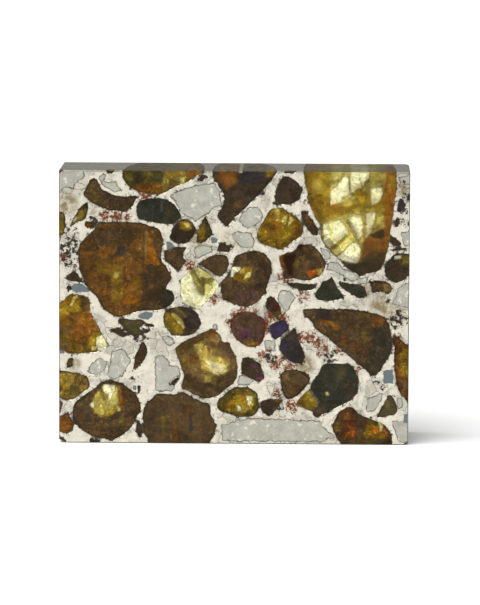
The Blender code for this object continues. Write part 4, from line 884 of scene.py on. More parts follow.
        Patch(Hue.PALE_LIGHT, ((-37.1, 10.0), (-36.2, 10.7), (-35.9, 9.8), (-36.2, 9.1)), 0.15, 0.8),
        Patch(Hue.LEMON_LIGHT, ((-32.4, 13.0), (-29.8, 13.8), (-29.8, 10.6), (-31.0, 9.8), (-32.6, 10.4)), 0.3, 0.7),
        Patch(Hue.PALE_LIGHT, ((-33.9, 13.9), (-33.3, 14.9), (-31.9, 15.1), (-30.7, 14.9), (-30.6, 13.7), (-31.5, 12.4),
                         (-31.9, 11.0), (-32.4, 12.6)), 0.14),
        Patch(Hue.HONEY, ((-29.9, 14.2), (-28.9, 14.0), (-28.6, 9.4), (-29.8, 9.0)), 0.2, 0.8),
        Patch(Hue.LEMON_LIGHT, box(-29.9, 8.6, -29.3, 9.4), 0.2, 0.8),
        Patch(Hue.CINNAMON, ((-28.9, 13.6), (-27.9, 12.6), (-27.8, 10.3), (-28.8, 10.0)), 0.25, 0.8),
        Patch(Hue.OLIVE, ((-34.2, 14.0), (-33.8, 14.0), (-32.6, 10.8), (-33.1, 10.7)), 0.12, 0.9),
        Patch(Hue.OLIVE, ((-29.9, 6.2), (-28.4, 6.4), (-27.8, 4.8), (-29.4, 4.4)), 0.6, 0.7),
    )),
    "lower_left": Look(Hue.CINNAMON, Hue.BROWN, Run(9.0, 0.6, -0.5, 0.0), (
        (-48.0, 6.7), (-45.0, 6.7), (-43.7, 7.4), (-43.1, 7.9), (-42.3, 7.8), (-42.1, 6.7), (-41.3, 5.4),
        (-40.95, 4.2), (-41.5, 3.3), (-42.4, 2.4), (-43.7, 2.6), (-45.0, 2.7), (-48.0, 2.7),
    ), (
        Patch(Hue.HONEY, box(-44.4, 3.2, -43.0, 4.2), 0.4, 0.6),
        Patch(Hue.PURPLE, ((-43.1, 8.0), (-42.3, 8.0), (-42.2, 6.8), (-43.0, 6.8)), 0.3, 0.8),
    )),
    "great_dark_foot": Look(Hue.BROWN, Hue.UMBER, Run(23.5, 0.75, 0.5, -1.0), (
        (-19.8, 12.9), (-18.5, 13.0), (-15.0, 12.8), (-13.4, 13.4), (-12.3, 13.3), (-11.6, 12.7), (-10.5, 11.9),
        (-9.1, 11.5), (-7.8, 10.9), (-6.2, 10.1), (-5.9, 9.7), (-6.2, 9.0), (-5.9, 7.6), (-5.1, 6.2), (-4.5, 4.9),
        (-4.6, 3.5), (-5.1, 2.05), (-6.0, 0.4), (-6.8, -3.0), (-22.4, -3.0), (-22.1, 0.1), (-22.0, 1.2),
        (-23.0, 2.2), (-23.2, 3.1), (-23.4, 5.8), (-23.4, 8.3), (-22.6, 10.4), (-21.4, 11.5), (-20.7, 12.2),
    ), (
        Patch(Hue.OLIVE, ((-18.7, 8.3), (-17.6, 8.3), (-17.5, 1.2), (-18.5, 1.2)), 0.4, 0.75),
        Patch(Hue.CINNAMON, ((-15.5, 4.9), (-14.6, 4.9), (-14.4, 0.4), (-15.4, 0.4)), 0.35, 0.7),
        Patch(Hue.TAN, box(-16.4, 0.8, -15.9, 2.2), 0.2, 0.6),
        Patch(Hue.CINNAMON, ((-12.3, 9.4), (-11.4, 9.2), (-11.5, 6.9), (-12.2, 6.9)), 0.3, 0.7),
        Patch(Hue.GREEN_BLACK, ((-11.6, 7.6), (-10.6, 7.4), (-10.5, 3.3), (-11.5, 3.4)), 0.35, 0.9),
        Patch(Hue.MAUVE, ((-12.8, 12.9), (-11.6, 12.5), (-11.7, 11.5), (-12.7, 11.6)), 0.4, 0.6),
        Patch(Hue.UMBER, ((-22.8, 8.0), (-19.8, 8.0), (-19.6, 1.0), (-22.4, 1.4)), 0.9, 0.6),
    )),
    "purple_round": Look(Hue.MAUVE, Hue.RUST, Run(10.0, 0.55, -0.5, 0.0), (
        (2.6, 34.5), (5.1, 34.2), (6.9, 33.1), (7.8, 32.6), (8.3, 31.9), (8.6, 30.4), (8.3, 29.4), (8.0, 27.9),
        (7.6, 26.7), (6.7, 25.6), (6.0, 25.1), (3.6, 25.2), (1.9, 26.1), (0.8, 27.2), (-0.1, 28.3), (-0.8, 29.4),
        (-1.0, 31.1), (-0.5, 32.9), (0.8, 34.0),
    ), (
        Patch(Hue.BROWN, ((0.8, 33.6), (5.6, 33.6), (6.4, 30.4), (1.0, 30.6)), 0.9, 0.7),
        Patch(Hue.PURPLE, ((1.5, 27.4), (3.4, 27.2), (3.6, 29.6), (1.7, 29.8)), 0.6, 0.8),
        Patch(Hue.AMBER, ((2.6, 25.7), (6.1, 25.8), (5.8, 26.9), (2.8, 26.9)), 0.3, 0.8),
        Patch(Hue.RUST, box(7.4, 29.2, 8.8, 32.8), 0.5, 0.8),
    )),
    "red_tongue": Look(Hue.UMBER, Hue.UMBER, Run(6.0, 0.5, 0.0, 0.0), (
        (9.2, 38.55), (10.4, 37.9), (11.5, 36.5), (12.0, 35.25), (12.3, 34.2), (12.1, 33.1), (11.1, 32.8),
        (10.1, 33.3), (9.7, 34.2), (9.0, 34.7), (8.3, 34.9), (8.2, 36.9), (8.5, 37.9),
    ), (
        Patch(Hue.RUST, ((10.0, 37.6), (11.6, 36.2), (12.2, 34.6), (10.2, 34.4)), 0.3, 0.9),
        Patch(Hue.OLIVE, ((10.0, 34.5), (12.1, 34.5), (11.9, 33.2), (10.4, 33.2)), 0.25),
        Patch(Hue.LEMON_LIGHT, box(11.5, 33.1, 11.9, 33.5), 0.15, 0.7),
    )),
    "violet_tile": Look(Hue.VIOLET, Hue.BLUE_BLACK, Run(6.0, 0.5, 0.0, 0.0), (
        (9.4, 31.1), (9.0, 30.6), (9.2, 29.4), (9.5, 28.6), (10.1, 27.4), (10.6, 26.9), (11.5, 27.6), (12.6, 28.5),
        (14.2, 29.75), (14.3, 30.25), (13.6, 31.7), (13.1, 32.3), (12.2, 32.3), (10.8, 31.8),
    )),
    "violet_slab": Look(Hue.BLUE_BLACK, Hue.UMBER, Run(8.0, 0.5, 0.0, 0.0), (
        (16.05, 30.2), (16.1, 29.4), (16.5, 27.9), (17.2, 26.1), (17.9, 24.4), (18.5, 22.9), (18.1, 21.7),
        (17.7, 20.5), (17.3, 20.8), (16.3, 20.9), (15.1, 21.1), (14.2, 21.7), (12.9, 22.9), (11.7, 24.4),
        (11.5, 25.25), (11.9, 26.5), (12.1, 27.1), (13.2, 28.4), (14.6, 29.5), (15.5, 30.3),
    ), (
        Patch(Hue.VIOLET, ((12.0, 24.4), (13.3, 24.2), (13.4, 26.6), (12.2, 26.6)), 0.5, 0.7),
        Patch(Hue.VIOLET, box(14.0, 21.3, 15.6, 22.4), 0.4, 0.7),
        Patch(Hue.MAUVE, ((13.6, 27.6), (15.2, 29.0), (15.2, 27.4), (14.0, 26.8)), 0.4, 0.4),
    )),
    "violet_foot": Look(Hue.UMBER, Hue.UMBER, Run(9.0, 0.5, 0.0, 0.0), (
        (2.2, 22.4), (3.8, 22.75), (5.1, 22.0), (6.9, 21.0), (7.2, 19.9), (7.75, 18.1), (8.1, 17.4), (7.6, 16.7),
        (6.7, 15.9), (6.0, 16.2), (5.1, 16.7), (3.5, 17.5), (2.2, 18.1), (1.9, 18.6), (1.9, 20.4),
    ), (
        Patch(Hue.UMBER, ((2.2, 22.2), (4.6, 22.2), (3.8, 18.6), (2.2, 19.0)), 0.6, 0.8),
        Patch(Hue.PURPLE, ((4.8, 20.8), (5.8, 20.7), (5.8, 19.9), (4.9, 20.0)), 0.3, 0.9),
        Patch(Hue.PURPLE, box(6.0, 16.6, 7.6, 17.8), 0.35, 0.9),
    )),
    "great_right": Look(Hue.BROWN, Hue.UMBER, Run(23.5, 0.62, -0.5, 0.5), (
        (17.9, 35.2), (20.1, 35.3), (22.5, 35.35), (25.6, 35.2), (30.0, 35.2), (32.0, 35.0), (34.5, 34.5),
        (36.6, 34.1), (38.1, 33.5), (39.1, 32.6), (39.9, 31.7), (40.2, 30.1), (40.6, 29.0), (40.7, 26.7),
        (40.6, 24.0), (40.0, 22.6), (39.1, 21.3), (38.4, 20.4), (37.9, 19.0), (37.4, 18.6), (36.1, 17.75),
        (35.7, 17.8), (33.4, 19.9), (31.8, 21.2), (30.0, 22.7), (28.25, 24.2), (26.5, 25.8), (25.0, 27.0),
        (23.8, 28.1), (22.0, 29.2), (20.6, 30.25), (20.25, 31.7), (18.8, 32.9), (18.3, 33.1), (18.0, 34.2),
    ), (
        Patch(Hue.BLUE_BLACK, ((20.6, 34.6), (24.8, 34.8), (25.4, 32.4), (21.0, 32.6)), 0.8, 0.8),
        Patch(Hue.HONEY, ((22.0, 32.3), (24.6, 32.2), (27.4, 30.6), (26.6, 29.6), (24.6, 31.0), (22.2, 31.4)), 0.4, 0.7),
        Patch(Hue.GOLD, ((24.4, 31.9), (25.2, 31.8), (26.0, 30.9), (25.2, 30.8)), 0.25, 0.9),
        Patch(Hue.TAN, box(26.7, 34.3, 27.2, 34.8), 0.15, 0.9),
        Patch(Hue.OLIVE, ((31.8, 34.4), (34.6, 34.0), (34.4, 33.4), (32.2, 33.0)), 0.4, 0.9),
        Patch(Hue.HONEY, ((35.0, 33.6), (38.0, 33.0), (38.2, 30.8), (35.6, 31.0)), 0.7, 0.6),
        Patch(Hue.UMBER, ((35.6, 30.6), (38.0, 30.6), (37.8, 29.6), (36.0, 29.6)), 0.3, 0.8),
        Patch(Hue.OLIVE, ((33.0, 30.6), (34.2, 30.6), (33.8, 26.0), (32.6, 26.0)), 0.5, 0.6),
        Patch(Hue.HONEY, ((27.4, 28.2), (28.6, 28.0), (28.8, 26.0), (27.8, 26.2)), 0.5, 0.6),
        Patch(Hue.RUST, ((28.8, 26.4), (33.4, 25.4), (34.6, 23.0), (32.8, 24.0)), 0.6, 0.6),
        Patch(Hue.UMBER, ((29.6, 25.2), (32.8, 24.2), (32.4, 22.6), (30.8, 22.8)), 0.5, 0.8),
        Patch(Hue.SLATE, ((30.2, 29.2), (31.4, 29.2), (31.2, 27.6), (30.4, 27.8)), 0.4, 0.35),
        Patch(Hue.GREEN_BLACK, ((35.6, 30.0), (40.4, 30.2), (40.6, 24.0), (38.0, 19.4), (36.0, 18.0), (33.4, 20.4),
                                (35.0, 24.0)), 1.0, 0.8),
    )),
    "green_nut": Look(Hue.GREEN_BLACK, Hue.GREEN_BLACK, Run(13.0, 0.55, 0.5, 1.0), (
        (23.1, 21.05), (24.0, 21.3), (26.5, 21.2), (29.7, 21.05), (30.6, 20.4), (31.3, 19.4), (32.0, 17.8),
        (32.4, 16.6), (32.0, 15.1), (32.0, 13.7), (30.9, 12.05), (30.0, 11.2), (27.6, 10.1), (25.2, 8.8),
        (24.6, 8.1), (23.1, 7.8), (22.2, 7.2), (21.1, 6.8), (20.25, 7.6), (20.4, 8.9), (21.6, 9.7), (22.1, 10.8),
        (21.3, 12.2), (20.2, 13.9), (19.5, 14.8), (19.9, 15.9), (20.6, 17.1), (21.5, 18.1), (22.2, 19.4),
    ), (
        Patch(Hue.MOSS, ((26.6, 20.2), (28.6, 20.0), (28.4, 17.0), (26.8, 16.8)), 0.9, 0.8),
        Patch(Hue.UMBER, ((28.0, 17.0), (31.8, 17.4), (31.4, 12.8), (28.4, 11.8)), 1.0, 0.7),
        Patch(Hue.LEMON_LIGHT, box(23.7, 12.8, 24.3, 13.5), 0.2, 0.8),
        Patch(Hue.BROWN, ((20.6, 9.0), (23.4, 10.0), (24.0, 8.4), (20.8, 7.2)), 0.5, 0.8),
    )),
    "rusty_shoulder": Look(Hue.BROWN, Hue.UMBER, Run(10.0, 0.5, -0.5, 0.5), (
        (12.0, 18.5), (13.5, 19.4), (16.0, 19.5), (18.6, 18.8), (19.6, 17.8), (19.9, 17.0), (19.5, 16.0),
        (18.9, 15.1), (17.75, 13.75), (16.9, 12.8), (15.1, 11.7), (13.8, 11.6), (12.9, 12.6), (12.4, 14.2),
        (12.0, 16.0),
    ), (
        Patch(Hue.TAN, ((12.4, 18.2), (14.4, 18.8), (14.2, 16.6), (12.6, 16.4)), 0.6, 0.5),
        Patch(Hue.CINNAMON, ((15.6, 15.8), (17.4, 15.4), (16.8, 13.8), (15.4, 13.6)), 0.7, 0.5),
    )),
    "yellow_wedge": Look(Hue.GOLD, Hue.AMBER, Run(23.5, 0.8, -0.5, -1.6), (
        (19.3, 14.5), (20.0, 13.6), (21.0, 12.0), (21.8, 10.8), (21.4, 10.0), (20.3, 9.2), (19.5, 8.75),
        (18.3, 9.55), (16.9, 10.0), (16.0, 10.3), (16.7, 11.7), (17.9, 12.9),
    ), (
        Patch(Hue.CINNAMON, ((16.2, 10.5), (18.0, 12.7), (18.4, 9.8)), 0.3),
        Patch(Hue.STRAW, ((19.2, 14.2), (20.0, 13.2), (20.3, 11.8), (19.0, 12.2)), 0.25, 0.8),
        Patch(Hue.LEMON_LIGHT, box(19.4, 11.4, 20.1, 11.9), 0.2, 0.8),
    )),
    "golden_eye": Look(Hue.OLIVE, Hue.UMBER, Run(23.5, 0.52, 1.4, -1.8), (
        (0.1, 14.8), (1.1, 15.0), (3.1, 14.9), (4.4, 14.4), (5.8, 13.7), (6.2, 13.1), (6.3, 12.05), (6.4, 10.8),
        (6.5, 9.7), (6.1, 8.5), (5.25, 7.4), (4.2, 7.05), (1.0, 7.1), (0.2, 7.4), (-0.9, 7.8), (-2.8, 8.3),
        (-3.9, 8.8), (-4.3, 9.55), (-4.25, 10.6), (-3.9, 11.5), (-2.5, 12.8), (-0.9, 14.1),
    ), (
        Patch(Hue.GOLD, ((-1.9, 10.0), (-0.6, 11.6), (0.8, 12.8), (4.8, 12.9), (5.6, 11.2), (4.8, 9.0), (3.2, 8.2),
                          (-1.4, 8.2)), 0.25),
        Patch(Hue.HONEY, ((2.0, 13.3), (3.2, 13.0), (2.9, 11.0), (1.6, 10.8)), 0.3, 0.7),
        Patch(Hue.ORANGE, ((-1.8, 10.4), (-0.6, 11.2), (-0.2, 9.6), (-1.4, 9.0)), 0.35, 0.5),
        Patch(Hue.PALE_LIGHT, ((3.2, 12.6), (4.8, 12.6), (4.7, 11.2), (4.2, 10.0), (3.6, 10.2)), 0.12),
        Patch(Hue.STRAW, ((2.0, 10.0), (3.4, 9.6), (3.2, 8.2), (2.0, 8.4)), 0.3, 0.8),
        Patch(Hue.PALE_LIGHT, ((0.9, 10.0), (1.4, 9.9), (2.0, 8.4), (1.1, 8.3)), 0.12, 0.9),
        Patch(Hue.STRAW, ((3.8, 9.8), (5.0, 10.8), (5.4, 10.4), (4.4, 9.0)), 0.2, 0.8),
    )),
    "brown_kite": Look(Hue.UMBER, Hue.UMBER, Run(6.0, 0.5, 0.0, 0.0), (
        (7.2, 11.3), (8.6, 11.6), (10.4, 11.7), (12.3, 11.8), (12.4, 11.3), (11.9, 10.1), (10.8, 8.7), (9.7, 7.4),
        (9.2, 7.0), (8.6, 7.4), (7.6, 8.3), (7.0, 9.0), (6.85, 10.3),
    ), (
        Patch(Hue.CINNAMON, box(10.8, 11.0, 12.2, 11.8), 0.3, 0.6),
    )),
    "foot_amber": Look(Hue.BROWN, Hue.UMBER, Run(23.5, 0.6, 1.0, -2.5), (
        (29.7, 10.0), (29.1, 9.9), (27.9, 9.2), (26.8, 8.3), (26.1, 6.9), (25.4, 5.4), (25.4, 4.7), (25.9, 2.9),
        (26.5, 1.9), (27.2, 0.8), (27.8, 0.1), (28.2, -3.0), (40.9, -3.0), (40.9, 1.3), (40.8, 2.6), (40.2, 3.65),
        (39.1, 5.1), (38.1, 5.8), (37.2, 6.15), (35.0, 6.9), (33.4, 7.6), (32.0, 8.3), (30.9, 9.6),
    ), (
        Patch(Hue.RUST, ((27.8, 8.6), (30.0, 9.4), (31.4, 7.4), (31.4, 1.6), (28.6, 1.8), (28.0, 5.0)), 0.7, 0.8),
        Patch(Hue.HONEY, ((28.4, 8.0), (29.8, 8.6), (30.2, 6.6), (28.6, 6.4)), 0.4, 0.6),
        Patch(Hue.TAN, box(29.3, 6.6, 29.8, 8.4), 0.2, 0.6),
        Patch(Hue.ORANGE, ((28.9, 3.4), (31.2, 3.8), (31.4, 2.2), (30.0, 1.5), (28.9, 1.9)), 0.35, 0.9),
        Patch(Hue.OLIVE, ((26.0, 5.6), (27.4, 6.0), (27.2, 3.8), (26.2, 3.6)), 0.5, 0.7),
        Patch(Hue.MAUVE, ((32.0, 7.4), (33.8, 6.8), (33.6, 3.4), (32.0, 3.2)), 0.6, 0.7),
        Patch(Hue.AMBER, ((34.4, 6.6), (36.0, 6.2), (37.8, 3.4), (40.0, 2.6), (39.0, 1.4), (33.6, 1.8),
                          (33.4, 2.8), (34.2, 4.4)), 0.25),
        Patch(Hue.ORANGE, ((35.6, 4.8), (37.4, 4.6), (37.6, 3.0), (35.8, 2.8)), 0.4, 0.7),
        Patch(Hue.ORANGE, ((38.2, 4.9), (39.6, 3.8), (39.8, 2.6), (38.4, 2.8)), 0.3, 0.8),
        Patch(Hue.UMBER, ((35.2, 6.2), (37.2, 5.8), (37.6, 5.2), (36.2, 5.2)), 0.2, 0.8),
        Patch(Hue.LEMON_LIGHT, ((37.3, 6.0), (38.4, 5.6), (38.5, 4.6), (38.0, 3.4), (37.7, 3.6)), 0.15, 0.9),
        Patch(Hue.OLIVE, ((33.4, 1.2), (36.0, 1.8), (38.0, 0.6), (33.8, 0.2)), 0.4, 0.7),
    )),
    "right_amber": Look(Hue.CINNAMON, Hue.UMBER, Run(16.0, 0.7, 1.5, 0.0), (
        (41.2, 28.4), (42.0, 28.4), (43.1, 27.0), (44.0, 26.3), (48.0, 26.0), (48.0, 10.2), (45.0, 10.4),
        (44.1, 12.05), (43.1, 12.9), (42.7, 13.5), (42.0, 15.1), (41.7, 16.5), (41.5, 18.6), (41.2, 19.9),
        (41.1, 22.2), (41.2, 25.1), (41.0, 26.6),
    ), (
        Patch(Hue.CINNAMON, ((41.2, 28.2), (42.2, 28.2), (42.6, 26.4), (41.4, 26.2)), 0.3, 0.9),
        Patch(Hue.AMBER, ((42.4, 25.4), (46.0, 25.6), (46.0, 17.4), (42.8, 18.0)), 0.7),
        Patch(Hue.GOLD, ((43.0, 24.6), (44.4, 24.8), (44.4, 22.4), (43.2, 22.2)), 0.5, 0.8),
        Patch(Hue.GOLD, ((43.0, 21.6), (44.6, 21.4), (44.6, 18.6), (43.4, 18.4)), 0.5, 0.9),
        Patch(Hue.TAN, ((43.2, 16.6), (44.2, 16.6), (44.6, 13.4), (43.8, 13.6)), 0.4, 0.8),
        Patch(Hue.CINNAMON, ((44.4, 17.4), (46.0, 17.4), (46.0, 11.8), (44.6, 12.8)), 0.4, 0.8),
        Patch(Hue.HONEY, ((43.0, 13.6), (44.4, 12.4), (44.2, 11.8), (42.9, 13.0)), 0.3, 0.7),
    )),
    "green_shard": Look(Hue.MOSS, Hue.UMBER, Run(4.5, 0.5, 0.0, 0.0), (
        (39.7, 13.1), (40.4, 13.2), (41.3, 12.4), (41.8, 10.8), (42.3, 9.0), (41.9, 8.3), (41.1, 7.6), (39.9, 7.6),
        (38.6, 7.05), (37.0, 6.9), (36.7, 7.4), (37.2, 8.3), (38.1, 9.7), (38.8, 11.2),
    ), (
        Patch(Hue.TAN, box(39.0, 9.6, 40.0, 11.6), 0.5, 0.4),
    )),
    "back_upper_left": Look(Hue.BROWN, Hue.UMBER),
    "back_crown": Look(Hue.GREEN_BLACK, Hue.UMBER),
    "back_middle_left": Look(Hue.AMBER, Hue.BROWN),
    "back_middle": Look(Hue.BROWN, Hue.UMBER),
    "back_shoulder": Look(Hue.AMBER, Hue.BROWN),
    "back_right": Look(Hue.GREEN_BLACK, Hue.UMBER),
    "back_right_top": Look(Hue.BROWN, Hue.UMBER),
    "back_foot": Look(Hue.GOLD, Hue.AMBER),
    "back_left": Look(Hue.BROWN, Hue.UMBER),
}

PLESSITE = (
    ((-46.0, 71.5), (-38.4, 71.5), (-38.7, 68.9), (-40.0, 67.9), (-40.8, 67.1), (-41.1, 65.6), (-43.0, 66.3),
     (-46.0, 64.3)),
    ((-34.6, 68.4), (-33.6, 69.8), (-33.0, 69.4), (-33.4, 68.0), (-32.0, 67.2), (-30.4, 67.6), (-29.0, 65.4),
     (-30.6, 65.0), (-32.6, 66.0), (-34.0, 67.2)),
    ((-16.3, 64.2), (-15.2, 65.2), (-9.5, 67.0), (-5.5, 67.5), (-4.0, 65.5), (-3.4, 62.0), (-5.5, 61.0),
     (-7.3, 59.0), (-10.0, 57.8), (-13.5, 60.0), (-14.2, 61.5)),
    ((1.6, 58.9), (2.0, 59.9), (4.0, 61.2), (6.0, 61.5), (7.2, 59.0), (7.0, 57.7), (3.5, 55.6), (1.5, 57.8)),
    ((-0.8, 54.2), (0.0, 54.8), (3.2, 55.0), (4.2, 54.6), (5.2, 53.0), (4.8, 51.2), (2.3, 50.7), (0.0, 52.8)),
    ((-10.2, 50.5), (-9.8, 51.2), (-5.5, 51.2), (-5.7, 50.0), (-7.5, 49.0), (-9.9, 48.0)),
    ((24.0, 47.3), (26.5, 47.2), (27.5, 45.8), (30.5, 44.8), (32.0, 43.0), (31.0, 42.3), (27.5, 44.0), (24.0, 45.5)),
    ((31.3, 43.6), (34.0, 43.4), (33.8, 41.9), (31.6, 41.9)),
    ((22.2, 51.0), (24.6, 49.6), (25.0, 47.9), (22.4, 48.2)),
    ((11.0, 38.0), (12.0, 40.0), (14.5, 39.8), (15.5, 38.0), (13.5, 34.2)),
    ((46.0, 43.0), (42.5, 41.0), (41.2, 38.0), (40.5, 36.5), (46.0, 35.5)),
    ((42.8, 54.6), (44.7, 55.7), (46.0, 55.4), (46.0, 52.3), (43.9, 51.6), (43.2, 52.7)),
    ((42.1, 69.3), (46.0, 70.2), (46.0, 67.4), (43.6, 67.5), (42.3, 66.8)),
    ((43.1, 66.3), (46.0, 67.0), (46.0, 62.4), (44.3, 63.2), (43.4, 64.5)),
    ((-20.2, 22.4), (-18.4, 22.8), (-17.0, 21.8), (-16.5, 20.5), (-14.3, 20.0), (-13.6, 18.0), (-16.0, 13.6), (-20.1, 13.8)),
    ((-18.6, 27.2), (-18.0, 28.2), (-15.8, 27.3), (-15.3, 26.2), (-16.8, 25.4)),
    ((-37.3, 18.6), (-36.8, 20.4), (-34.2, 22.2), (-32.8, 21.0), (-33.4, 18.8), (-35.4, 17.6)),
    ((-32.6, 18.0), (-31.6, 20.6), (-31.2, 23.8), (-28.2, 24.4), (-26.4, 21.6), (-28.6, 17.6), (-31.0, 16.6)),
    ((34.2, 12.0), (36.0, 12.4), (38.0, 13.2), (38.0, 11.4), (36.2, 8.6), (34.4, 8.8)),
    ((42.2, 12.0), (43.4, 11.8), (43.5, 9.6), (42.4, 9.6)),
    ((41.0, 6.2), (46.0, 6.0), (46.0, 0.6), (42.4, 0.8)),
    ((7.6, 35.8), (10.4, 35.6), (10.3, 33.2), (7.8, 33.3)),
    ((8.1, 26.8), (10.5, 26.8), (10.6, 24.3), (8.3, 24.3)),
    ((-3.0, 5.0), (3.6, 6.6), (14.6, 6.4), (22.0, 6.0), (26.0, 2.0), (22.0, 0.7), (-3.0, 0.8)),
    ((-5.3, 31.0), (-4.2, 30.9), (-4.4, 29.6), (-5.2, 29.7)),
    ((1.2, 18.0), (3.4, 17.6), (5.0, 16.4), (4.2, 15.4), (1.4, 15.6)),
)
FAINT = (
    ((-37.2, 35.6), (-35.6, 34.4), (-31.0, 31.0), (-28.4, 27.0), (-25.8, 25.6), (-25.2, 23.0), (-29.0, 22.0),
     (-33.4, 23.4), (-32.2, 27.0), (-35.0, 31.0)),
    ((-22.0, 27.6), (-16.0, 28.0), (-14.0, 26.0), (-16.0, 24.6), (-21.4, 22.6)),
    ((-12.0, 49.4), (-8.6, 52.0), (-4.6, 52.6), (-3.0, 50.0), (-9.0, 47.0)),
    ((40.4, 42.0), (46.0, 43.0), (46.0, 34.0), (41.0, 35.4)),
    ((24.6, 45.0), (33.0, 43.6), (34.6, 42.8), (30.0, 41.8), (24.0, 43.8)),
    ((-4.4, 8.4), (-1.0, 7.4), (6.0, 7.2), (20.0, 8.0), (26.6, 1.0), (22.0, 0.0), (-4.6, 0.0)),
    ((41.0, 71.5), (46.0, 71.5), (46.0, 62.0), (41.8, 63.0)),
    ((-46.0, 71.5), (-38.6, 71.5), (-37.6, 66.0), (-40.4, 62.6), (-46.0, 61.0)),
    ((34.0, 17.0), (36.0, 18.2), (38.4, 17.0), (41.0, 14.6), (38.0, 12.4), (33.0, 9.6)),
)
TROILITE = (
    ((-42.2, 40.4), (-41.0, 41.5), (-39.2, 41.4), (-38.0, 40.8), (-36.8, 39.6), (-37.6, 39.0), (-40.6, 39.1),
     (-41.6, 39.4)),
    ((-25.0, 33.2), (-22.8, 34.2), (-20.7, 34.0), (-20.9, 32.8), (-22.0, 32.1), (-24.0, 32.2)),
    ((-17.6, 52.6), (-16.2, 52.4), (-15.0, 50.8), (-17.2, 50.3)),
    ((-6.0, 53.8), (-4.2, 53.2), (-4.4, 52.0), (-5.8, 52.0)),
    ((38.3, 19.4), (41.0, 19.6), (41.0, 16.0), (38.6, 15.9)),
    box(43.8, 5.7, 46.0, 8.1),
    ((-26.0, 15.0), (-25.1, 15.0), (-25.1, 13.7), (-25.9, 13.7)),
    box(-46.0, 23.1, -43.6, 24.3),
)
RUSTY = (
    (-33.0, 58.9, 1.6), (-30.2, 58.8, 1.9), (-27.6, 58.6, 1.2), (-22.8, 64.0, 1.6), (-1.2, 31.6, 1.1),
    (0.2, 33.8, 1.1), (2.6, 34.9, 1.3), (5.4, 34.5, 1.0), (8.3, 31.6, 1.2), (8.6, 29.4, 0.8), (17.4, 27.8, 1.5),
    (19.6, 27.6, 1.8), (21.6, 26.6, 1.4), (23.4, 25.0, 1.0), (22.2, 23.6, 0.9), (7.2, 22.9, 1.3), (11.0, 20.9, 1.6),
    (14.6, 19.9, 1.6), (12.6, 22.2, 1.0), (9.0, 24.4, 0.7), (15.0, 9.8, 1.6), (11.2, 13.0, 1.2),
    (32.0, 19.6, 1.2), (41.8, 27.6, 1.4), (-11.2, 46.2, 1.4), (13.4, 43.6, 2.0), (-5.2, 37.6, 1.3),
    (17.6, 38.8, 1.6), (12.4, 32.6, 1.8), (-43.8, 48.2, 1.6), (9.6, 33.4, 1.4), (27.4, 25.0, 1.6),
)
SPECKLED = (
    (-42.6, 50.2, 5.0), (-42.0, 45.4, 2.6), (-43.6, 54.4, 2.4), (-36.6, 57.2, 2.4), (-40.4, 55.0, 1.6),
    (42.2, 32.6, 3.6), (44.2, 59.4, 1.2), (43.6, 57.6, 1.8), (25.0, 23.0, 3.0), (-24.4, 28.2, 3.4),
    (36.6, 16.6, 1.6), (9.4, 22.4, 2.4), (-14.0, 47.6, 1.6), (-27.4, 29.6, 2.6), (18.2, 62.6, 1.2),
    (42.9, 67.6, 1.5), (43.6, 60.4, 1.6), (43.4, 64.6, 1.2), (44.0, 45.4, 1.4), (39.6, 37.2, 1.3), (17.2, 36.8, 0.8),
    (-12.8, 34.8, 0.8), (-30.6, 57.8, 1.2), (28.4, 43.0, 0.8), (-18.6, 43.6, 1.3), (-39.6, 47.4, 1.6),
    (6.6, 42.4, 0.9), (12.2, 9.6, 1.4), (38.6, 15.0, 1.2), (-38.2, 42.8, 2.2), (41.4, 51.6, 1.8),
)
STAINED = (
    (38.0, 36.6, 3.4), (-41.2, 20.6, 1.8), (41.4, 33.4, 2.6), (-6.2, 45.8, 2.4), (-9.6, 53.4, 2.4),
    (-42.6, 61.8, 2.6), (42.6, 66.4, 1.8), (33.8, 40.0, 1.8), (-1.0, 53.2, 2.0), (18.4, 20.8, 2.4),
)
SMALL_RUN = Run(2.2, 0.6)
